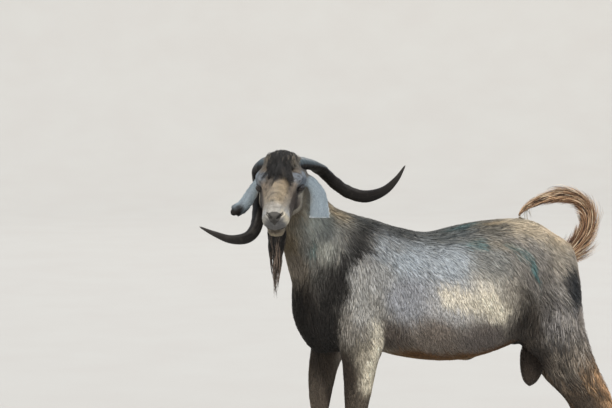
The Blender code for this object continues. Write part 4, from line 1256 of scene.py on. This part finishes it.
def make_tail_hair(ground, material):
    """The tail's brush: locks running up the bone, standing out behind it and ending in a wisp."""
    count = TAIL_LOCKS
    rows = resample(TAIL, 90)
    path = np.stack([rows[:, 0], 0 * rows[:, 0], rows[:, 1]], axis=1)
    gone = np.concatenate([[0], np.cumsum(np.linalg.norm(np.diff(path, axis=0), axis=1))])
    along = unit(np.gradient(path, axis=0))
    behind = np.stack([along[:, 2], 0 * gone, -along[:, 0]], axis=1)
    table = np.hstack([path, behind, rows[:, 2:4]])
    begin = gone[-1] * (0.02 + 0.93 * rng.random(count) ** 0.9)
    reach = np.minimum(rng.uniform(*TAIL_LOCK_LONG, count), 1.02 * gone[-1] - begin)
    turn = rng.uniform(0, 2 * math.pi, count)
    bunch = noise(np.stack([begin * 60, turn * 1.3, 0 * turn], axis=1), 1.0, 41)
    loft_share = 0.35 + 0.50 * rng.random(count) + 0.80 * (bunch - 0.5)
    flare = 0.7 + 0.9 * rng.random(count) ** 3
    spines, out = np.empty((count, TAIL_KNOTS, 3)), np.empty((count, TAIL_KNOTS, 3))
    for knot in range(TAIL_KNOTS):
        share = knot / (TAIL_KNOTS - 1)
        here = np.stack([np.interp(begin + reach * share, gone, column) for column in table.T], axis=1)
        outward = here[:, 3:6] * np.sin(turn)[:, None]
        outward[:, 1] += np.cos(turn) * TAIL_FLATNESS
        rear = 1 + 0.45 * np.maximum(np.sin(turn), 0) * flare
        core, hair = here[:, 6], here[:, 7] * rear
        half = core + np.maximum(hair * loft_share - core, 0) * share**0.75
        spines[:, knot] = MIDDLE + here[:, :3] + outward * half[:, None]
        spines[:, knot, 2] -= TAIL_DROOP * share**2 * rng.random(count)
        out[:, knot] = outward
    rear = np.sin(turn) * 0.5 + 0.5
    shares = np.array([0.78, 0.80, 0.35, 0.08]) + rear[:, None] * (-0.50, -0.25, 0.35, 0.20)
    return brush("tail_brush", ground, spines, out, shares, material)


# ---- horns ----------------------------------------------------------------------------
HORN_RINGS, HORN_SIDES = 190, 40
TWIST_SPEED = 1.8  # the twist is over at the horn's length divided by this
GROWTH_RING, RING_HIGH = 0.0085, 0.058  # spacing, and height as a share of the horn's breadth
KNOB, KNOB_HIGH = 0.034, 0.030
KEEL = 0.06
TIP_SHARE = 0.016  # the last share of the length rounds off to a point


def make_horn(name, rows, broad_root, broad_tip, material):
    """A flattened, twisting horn with growth rings, knobs and a keel along one edge.

    Its breadth turns from broad_root at the root to broad_tip, both head place directions.
    """
    rows = resample(rows, HORN_RINGS)
    spine = on_head(rows[:, :3])
    steps = np.linalg.norm(np.diff(spine, axis=0), axis=1)
    length = np.concatenate([[0], np.cumsum(steps)])
    along = unit(np.gradient(spine, axis=0))
    share = np.minimum(TWIST_SPEED * np.arange(HORN_RINGS) / (HORN_RINGS - 1), 1)[:, None]
    guide = (np.array(broad_root) * (1 - share) + np.array(broad_tip) * share) @ HEAD_AXES
    broad = flat(guide, along)
    thin = np.cross(along, broad)
    fade = 1 - smoothstep((length / length[-1] - 0.30) / 0.50)
    uneven = noise(np.stack([length, length * 0, length * 0], axis=1), 0.020, 31)
    phase = length / GROWTH_RING + 2.0 * uneven
    ring_rise = RING_HIGH * fade * (np.abs(np.sin(math.pi * phase)) ** 0.7 - 0.6)
    knob_rise = KNOB_HIGH * fade * np.sin(2 * math.pi * length / KNOB + 3 * uneven)
    turns = circle(HORN_SIDES)
    at_edges = 0.55 + 0.45 * np.abs(np.cos(turns))
    keel = KEEL * ridge(turns, 0, 0.35) + KEEL * ridge(turns, 2 * math.pi, 0.35)
    point = np.sqrt(np.clip((1 - length / length[-1]) / TIP_SHARE, 0.03, 1))
    rings, growth = [], []
    for index in range(HORN_RINGS):
        grow = 0.97 + ring_rise[index] * at_edges + knob_rise[index] + keel * fade[index]
        grow = grow * point[index]
        side = broad[index] * (np.cos(turns) * rows[index, 3] * grow)[:, None]
        rise = thin[index] * (np.sin(turns) * rows[index, 4] * grow)[:, None]
        rings.append(spine[index] + side + rise)
        growth += [(length[index], turn / math.tau, length[index] / length[-1]) for turn in turns]
    made = loft(name, rings)
    store(made.data, "growth", "FLOAT_VECTOR", growth)
    return finished(made, material)


# ---- claws and dewclaws ---------------------------------------------------------------
CORONET_FRONT, CORONET_BACK = 0.046, 0.028  # heights of the top of the hoof
CLAW_RINGS, CLAW_SIDES = 40, 56
WALL_SLOPE, WALL_BACK = 0.010, 0.012  # how much shorter and further back the top of the wall is
WALL_RINGS = 0.007  # height of the wall's rings as a share of its breadth


def make_claw(foot, word, material):
    """One claw of a foot: its outer wall bows out, its inner wall is nearly straight."""
    low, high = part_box(f"claw_{foot}_{word}")
    size, centre = high - low, (low.y + high.y) / 2
    feet = hoof_box(foot)
    inward = 1 if (feet[0][1] + feet[1][1]) / 2 > centre else -1
    slope = (CORONET_FRONT - CORONET_BACK) / size.x
    turns = circle(CLAW_SIDES)
    ahead = (1 - np.cos(turns)) / 2
    bowed = 0.42 + 0.58 * np.minimum(ahead / 0.45, 1) ** 0.7
    straight = 0.70 + 0.30 * np.minimum(ahead / 0.30, 1) ** 0.7
    sideways = np.sin(turns) * np.where(np.sin(turns) * inward > 0, straight, bowed)
    sideways += inward * 0.22 * (1 - ahead) ** 2
    sideways = np.clip(sideways, -1, 1)
    rings = []
    for up in np.linspace(0, 1, CLAW_RINGS):
        sole = 0.09 * (1 - smoothstep(up / 0.08))
        lines = WALL_RINGS * math.sin(up * 52 + 1.5 * math.sin(up * 9)) * (1 - sole)
        crown = 0.22 * smoothstep((up - 0.86) / 0.14) ** 2
        draw = min(1 - sole - crown + lines - 0.07 * up, 1)
        x = ahead * (size.x - WALL_SLOPE * up) + WALL_BACK * up
        top = CORONET_FRONT - slope * x - 0.0006
        x = x.mean() + (x - x.mean()) * min(draw + 0.05 * up, 1)
        y = centre + sideways * size.y / 2 * draw
        rings.append(np.stack([low.x + x, y, top * up], axis=1))
    return finished(loft(f"hoof_{foot}_{word}", rings), material)


DEWCLAWS = {  # where each foot's pair grows from the back of the fetlock: back, out
    "fore_left": (-0.240, -0.100),
    "fore_right": (-0.290, 0.100),
    "hind_left": (0.456, -0.100),
    "hind_right": (0.491, 0.100),
}
DEWCLAW_LONG, DEWCLAW_HALF, DEWCLAW_UP = 0.024, 0.0088, 0.096
DEWCLAW_APART, DEWCLAW_ROOT = 0.012, 0.006  # out from the foot's middle, and into the skin


def make_dewclaws(ground, material):
    """The two small blunt claws that grow from the back of each fetlock, all in one piece."""
    turns = circle(18)[:, None]
    bm = bmesh.new()
    for back, out in DEWCLAWS.values():
        for side in (-1, 1):
            wanted = MIDDLE + (back, out + side * DEWCLAW_APART, DEWCLAW_UP)
            place, facing = (row[0] for row in follow(ground[-1], wanted[None]))
            aim = unit(facing * (0.62, 0.62, 0) + (0.10, side * 0.10, -0.90))
            broad = unit(np.cross(aim, facing))
            section = np.cos(turns) * broad + 0.72 * np.sin(turns) * np.cross(aim, broad)
            rings = []
            for step in np.linspace(0, 1, 14):
                half = DEWCLAW_HALF * math.sqrt(1 - (0.99 * step) ** 3.2)
                half *= 1 + 0.03 * math.sin(step * 40)
                centre = place - facing * DEWCLAW_ROOT + aim * DEWCLAW_LONG * step
                rings.append(centre + half * section)
            claw = loft("dewclaw", rings)
            bm.from_mesh(claw.data)
            bpy.data.objects.remove(claw)
    return finished(made_of(bm, "dewclaws"), material)


# ---- eyeballs -------------------------------------------------------------------------
EYE_BULGE = 0.0006


def make_eye(name, side, material):
    """The eyeball, bulging in front, with its own directions kept on the mesh."""
    look, long, high = eye_axes(side)
    turns = circle(56)[:, None]
    outward = np.cos(turns) * long + np.sin(turns) * high
    rings = []
    for angle in np.linspace(0.03, math.pi - 0.03, 48):
        half = EYE_RADIUS * 0.995 + EYE_BULGE * ridge(angle, 0, 0.50)
        rings.append(EYES[side] + half * (look * math.cos(angle) + outward * math.sin(angle)))
    made = loft(name, rings)
    offset = (places_of(made.data) - EYES[side]) / EYE_RADIUS
    store(made.data, "look", "FLOAT_VECTOR", offset @ np.array([long, high, look]).T)
    return finished(made, material)


# ---- materials ------------------------------------------------------------------------
def colour4(shade):
    return (*linear(shade), 1.0)


def feed(tree, node, **inputs):
    """Links or sets a node's inputs, named by i and a number or with _ for each space.

    A node given as a value links from its first output.
    """
    for name, value in inputs.items():
        socket = node.inputs[int(name[1:]) if name[1:].isdigit() else name.replace("_", " ")]
        if isinstance(value, bpy.types.Node):
            value = value.outputs[0]
        if isinstance(value, bpy.types.NodeSocket):
            tree.links.new(value, socket)
        else:
            socket.default_value = value


def add(tree, kind, settings=None, stops=(), **inputs):
    """Adds a node with its plain settings, its ramp's stops, and its inputs as feed takes them."""
    made = tree.nodes.new("ShaderNode" + kind)
    for name, value in (settings or {}).items():
        setattr(made, name, value)
    for index, (place, shade) in enumerate(stops):
        stop = made.color_ramp.elements[index]
        stop.position, stop.color = place, colour4(shade)
    feed(tree, made, **inputs)
    return made


def new_material(name):
    material = bpy.data.materials.new(name)
    material.use_nodes = True
    tree = material.node_tree
    return material, tree, tree.nodes["Principled BSDF"]


# a node's settings, where more than one node has them
SUM, PRODUCT, POWER = {"operation": "ADD"}, {"operation": "MULTIPLY"}, {"operation": "POWER"}
TIMES = {"operation": "SCALE"}
BLEND = {"data_type": "RGBA"}  # its inputs 6 and 7 and its output 2 are the colours


def coat_material():
    """Goat hair: dry, flat-lying locks with a soft gleam along each strand."""
    material, tree, shader = new_material("goat_hair")
    tone = add(tree, "Attribute", {"attribute_name": "coat_colour"})
    strand = add(tree, "UVMap", {"uv_map": "Strand"})
    # hairs of about 0.1 mm are drawn fourteen to a lock's girth, as coarse as they need to show
    fine = add(tree, "Mapping", i0=strand, i3=(14.0, 1.2, 1.0))
    grain = add(tree, "TexNoise", i0=fine, Scale=1.0, Detail=2.0)
    level = add(tree, "MapRange", i0=grain, i1=0.3, i2=0.7, i3=0.80, i4=1.16)
    mixed = add(tree, "VectorMath", TIMES, i0=tone, Scale=level)
    bump = add(tree, "Bump", Strength=0.25, Distance=0.0004, Height=grain)
    feed(tree, shader, Base_Color=mixed, Normal=bump, Roughness=0.66)
    feed(tree, shader, Specular_IOR_Level=0.22, Sheen_Weight=0.06)
    return material


def skin_material():
    """Hide under short, flat hair: the hair's grain runs with its lie, as bump and flecks."""
    material, tree, shader = new_material("haired_hide")
    tone = add(tree, "Attribute", {"attribute_name": "coat_colour"})
    place = add(tree, "Attribute", {"attribute_name": "grain"}).outputs[1]
    # short hair shows as streaks about 0.8 mm apart, in tufts of about 3 mm
    hairs = add(tree, "TexNoise", i0=place, Scale=1250.0, Detail=2.0)
    tufts = add(tree, "TexNoise", i0=place, Scale=320.0, Detail=1.0)
    both = add(tree, "Math", SUM, i0=hairs, i1=tufts)
    level = add(tree, "MapRange", i0=both, i1=0.7, i2=1.3, i3=0.70, i4=1.20)
    mixed = add(tree, "VectorMath", TIMES, i0=tone, Scale=level)
    bump = add(tree, "Bump", Strength=0.55, Distance=0.0006, Height=both)
    feed(tree, shader, Base_Color=mixed, Normal=bump, Roughness=0.62, Specular_IOR_Level=0.35)
    return material


def horn_material():
    """Keratin horn: near black, dry and scuffed, with a painted blue-grey sky reflection on its upward
    faces near its root.
    """
    material, tree, shader = new_material("horn_keratin")
    growth = add(tree, "Attribute", {"attribute_name": "growth"})
    parts = add(tree, "SeparateXYZ", i0=growth.outputs[1])
    length, turn, share = parts.outputs
    place = add(tree, "TexCoord").outputs["Object"]
    # fibres run the horn's length, about 2 mm apart round it and closer towards its tip
    turned = add(tree, "CombineXYZ", i0=length, i1=turn)
    fibre_place = add(tree, "Mapping", i0=turned, i3=(22.0, 60.0, 1.0))
    fibres = add(tree, "TexNoise", i0=fibre_place, Scale=1.0, Detail=3.0)
    scuffs = add(tree, "TexNoise", i0=place, Scale=85.0, Detail=4.0)  # about 12 mm across
    ramp = add(tree, "ValToRGB", stops=((0.35, "0d0c0c"), (0.75, "25211f")), i0=fibres)
    worn = add(tree, "MapRange", i0=scuffs, i1=0.52, i2=0.75, i3=0.0, i4=0.40)
    pale = add(tree, "Mix", BLEND, i0=worn, i6=ramp, i7=colour4("3e3b37"))
    # painted sky reflection: the faces that look up are tinted blue-grey near the root
    facing = add(tree, "NewGeometry")
    normal = add(tree, "SeparateXYZ", i0=facing.outputs["Normal"])
    upper = add(tree, "MapRange", i0=normal.outputs[2], i1=0.2, i2=0.8, i3=0.0, i4=1.0)
    base = add(tree, "MapRange", i0=length, i1=0.04, i2=0.16, i3=0.75, i4=0.0)
    sky_reflection = add(tree, "Math", PRODUCT, i0=upper, i1=base)
    blue = add(tree, "Mix", BLEND, i0=sky_reflection, i6=pale.outputs[2], i7=colour4("4a565c"))
    tip = add(tree, "MapRange", i0=share, i1=0.70, i2=1.0, i3=0.0, i4=0.45)
    whole = add(tree, "Mix", BLEND, i0=tip, i6=blue.outputs[2], i7=colour4("45423e"))
    rough = add(tree, "MapRange", i0=scuffs, i1=0.3, i2=0.7, i3=0.42, i4=0.64)
    bump = add(tree, "Bump", Strength=0.5, Distance=0.0006, Height=fibres)
    feed(tree, shader, Base_Color=whole.outputs[2], Roughness=rough, Normal=bump)
    feed(tree, shader, Specular_IOR_Level=0.22)
    return material


def hoof_material():
    """Hoof horn: dark, dull and dust-covered, with fibres down the wall and faint rings round it."""
    material, tree, shader = new_material("hoof_horn")
    place = add(tree, "TexCoord").outputs["Object"]
    # the wall's fibres show as streaks about 1.5 mm apart
    upright = add(tree, "Mapping", i0=place, i3=(680.0, 680.0, 45.0))
    fibres = add(tree, "TexNoise", i0=upright, Scale=1.0, Detail=2.0)
    dust = add(tree, "TexNoise", i0=place, Scale=70.0, Detail=5.0)
    # rings round the wall lie about 8 mm apart
    lines = add(tree, "TexWave", {"bands_direction": "Z"}, i0=place, Scale=40.0, Distortion=1.2)
    both = add(tree, "Math", {"operation": "MULTIPLY_ADD"}, i0=fibres, i1=0.6, i2=dust)
    ramp = add(tree, "ValToRGB", stops=((0.62, "26211e"), (1.0, "4d453d")), i0=both)
    # the lowest 12 mm carries dust from the ground
    parts = add(tree, "SeparateXYZ", i0=place)
    low = add(tree, "MapRange", i0=parts.outputs[2], i1=0.0, i2=0.012, i3=0.45, i4=0.0)
    whole = add(tree, "Mix", BLEND, i0=low, i6=ramp, i7=colour4("6f6557"))
    relief = add(tree, "Math", SUM, i0=fibres, i1=lines.outputs[1])
    bump = add(tree, "Bump", Strength=0.35, Distance=0.0004, Height=relief)
    feed(tree, shader, Base_Color=whole.outputs[2], Normal=bump, Roughness=0.52)
    return material


def eye_material():
    """A wet eye: dark brown iris with radial threads, a level slot of a pupil, darker rim."""
    material, tree, shader = new_material("wet_eye")
    look = add(tree, "Attribute", {"attribute_name": "look"})
    across, high, _ = add(tree, "SeparateXYZ", i0=look.outputs[1]).outputs
    wide, tall = (add(tree, "Math", POWER, i0=way, i1=2.0) for way in (across, high))
    total = add(tree, "Math", SUM, i0=wide, i1=tall)
    reach = add(tree, "Math", {"operation": "SQRT"}, i0=total)
    angle = add(tree, "Math", {"operation": "ARCTAN2"}, i0=high, i1=across)
    spokes = add(tree, "CombineXYZ", i0=angle, i1=reach)
    spread = add(tree, "Mapping", i0=spokes, i3=(9.0, 2.0, 1.0))
    threads = add(tree, "TexNoise", i0=spread, Scale=1.0, Detail=2.0)
    ramp = add(tree, "ValToRGB", stops=((0.3, "160f08"), (0.7, "33241a")), i0=threads)
    edge = add(tree, "MapRange", i0=reach, i1=0.52, i2=0.66, i3=0.0, i4=1.0)
    iris = add(tree, "Mix", BLEND, i0=edge, i6=ramp, i7=colour4("1d1512"))
    # the slot's half length and half height are 1/2.3 and 1/6 of the ball's radius
    slots = []
    for way, squeeze in ((across, 2.3), (high, 6.0)):
        scaled = add(tree, "Math", PRODUCT, i0=way, i1=squeeze)
        slots.append(add(tree, "Math", POWER, i0=scaled, i1=4.0))
    slot = add(tree, "Math", SUM, i0=slots[0], i1=slots[1])
    pupil = add(tree, "MapRange", i0=slot, i1=0.8, i2=1.3, i3=1.0, i4=0.0)
    whole = add(tree, "Mix", BLEND, i0=pupil, i6=iris.outputs[2], i7=colour4("050505"))
    feed(tree, shader, Base_Color=whole.outputs[2], Roughness=0.10, Specular_IOR_Level=0.30)
    feed(tree, shader, Coat_Weight=0.35, Coat_Roughness=0.03)
    return material


def floor_material():
    """Matt painted studio floor with faint unevenness."""
    material, tree, shader = new_material("studio_floor")
    # trowel marks about 0.3 m across, too faint to see as a pattern
    place = add(tree, "TexCoord").outputs["Object"]
    cloud = add(tree, "TexNoise", i0=place, Scale=3.0, Detail=3.0)
    ramp = add(tree, "ValToRGB", stops=((0.3, "a9a7a3"), (0.7, "abaaa6")), i0=cloud)
    feed(tree, shader, Base_Color=ramp, Roughness=0.85)
    return material


# ---- studio ---------------------------------------------------------------------------
CAMERA_PLACE = (-1.84028, -5.66380, 1.29122)  # body place
CAMERA_AIM = (0.24869, 0.96509, -0.08218)
LENS = 126.0
SUNS = {  # name: where it shines from, softness in degrees, strength, colour
    "key": ((-0.9, -1.6, 2.0), 16.0, 3.2, "fff8ee"),
    "fill": ((1.6, -1.4, 1.2), 45.0, 0.6, "e6eeff"),
    "back": ((0.8, 1.6, 1.4), 30.0, 1.1, "fffaf2"),
}
AIR, AIR_STRENGTH = "dde3ec", 0.95
FLOOR_FLAT, FLOOR_SWEEP = 9.0, 5.0  # a flat disc, then a sweep up all round it
FLOOR_HEART = 0.02  # the disc's middle face


def studio():
    """The camera, the lights and a plain floor."""
    scene = bpy.context.scene
    camera = bpy.data.cameras.new("camera")
    camera.lens, camera.sensor_width, camera.clip_end = LENS, 36.0, 100.0
    eye = link("camera", camera)
    eye.location = MIDDLE + CAMERA_PLACE
    eye.rotation_euler = Vector(CAMERA_AIM).to_track_quat("-Z", "Y").to_euler()
    scene.camera = eye
    scene.view_settings.view_transform = "Standard"
    for name, (source, softness, strength, shade) in SUNS.items():
        light = bpy.data.lights.new(name, "SUN")
        light.angle, light.energy, light.color = math.radians(softness), strength, linear(shade)
        link(name, light).rotation_euler = Vector(source).to_track_quat("Z", "Y").to_euler()
    world = bpy.data.worlds.new("studio_air")
    world.use_nodes = True
    air = world.node_tree
    feed(air, air.nodes["Background"], Color=colour4(AIR), Strength=AIR_STRENGTH)
    scene.world = world
    turns = circle(128)
    rim = np.stack([np.cos(turns), np.sin(turns), 0 * turns], axis=1)
    rings = [FLOOR_HEART * rim]
    for lean in np.linspace(0, math.radians(70), 24):
        rings.append((FLOOR_FLAT + FLOOR_SWEEP * math.sin(lean)) * rim)
        rings[-1][:, 2] = FLOOR_SWEEP * (1 - math.cos(lean))
    bm = bmesh.new()
    loops = [[bm.verts.new(point) for point in ring] for ring in rings]
    for near, far in zip(loops, loops[1:]):
        for k in range(len(turns)):
            bm.faces.new((near[k - 1], far[k - 1], far[k], near[k]))
    bm.faces.new(loops[0])
    finished(made_of(bm, "floor"), floor_material())


def grain_of(points, chart):
    """A place for the skin's hair pattern, drawn out along the lie of the hair."""
    head = np.linalg.norm(points - HEAD, axis=1) < 0.25
    centre = np.where(head[:, None], HEAD, points.round(1))
    return drawn_together(points - centre, unit(chart[:, LIE]), 0.86)


UNDERCOAT_PAINTED_SHADE = 0.85  # painted shade: the skin's colour is darkened to this share under the coat
HORN_BROAD = (1.0, 0.0, 0.1)  # the way a horn's breadth lies at its root, then at its tip
TIP_BROAD = {"left": (0.0, -0.2, 1.0), "right": (0.2, 0.0, 1.0)}


def main():
    studio()
    skin = make_skin()
    unwrap(skin)
    points = places_of(skin.data)
    chart = chart_at(points)
    # the skin's colours carry painted shade under the coat
    colours = markings(points, chart, SKIN_FRAY) * UNDERCOAT_PAINTED_SHADE
    store(skin.data, "coat_colour", "FLOAT_COLOR", colours)
    store(skin.data, "grain", "FLOAT_VECTOR", grain_of(points, chart))
    skin.data.materials.clear()
    skin.data.materials.append(skin_material())
    hair, keratin, hoof, wet = coat_material(), horn_material(), hoof_material(), eye_material()
    ground = ground_of(skin.data)
    pieces = {skin: "coat"}
    for piece in make_coat(skin, ground, chart, hair):
        pieces[piece] = "coat"
    for make in (make_forelock, make_tail_hair, make_beard):
        piece = make(ground, hair)
        pieces[piece] = "coat"
    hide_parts("beard")
    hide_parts(*FLESH, "tail")
    for word, rows in (("left", LEFT_HORN), ("right", RIGHT_HORN)):
        piece = make_horn(f"horn_sheath_{word}", rows, HORN_BROAD, TIP_BROAD[word], keratin)
        pieces[piece] = "horn"
        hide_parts(f"horn_{word}")
    for word, side in (("left", 1), ("right", -1)):
        piece = make_eye(f"eyeball_{word}", side, wet)
        pieces[piece] = "eye"
        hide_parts(f"eye_{word}")
    for foot in DEWCLAWS:
        for word in ("inner", "outer"):
            piece = make_claw(foot, word, hoof)
            pieces[piece] = "hoof"
            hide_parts(f"claw_{foot}_{word}")
    pieces[make_dewclaws(ground, hoof)] = "hoof"
    for piece, slot in pieces.items():
        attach(piece, "root")


main()
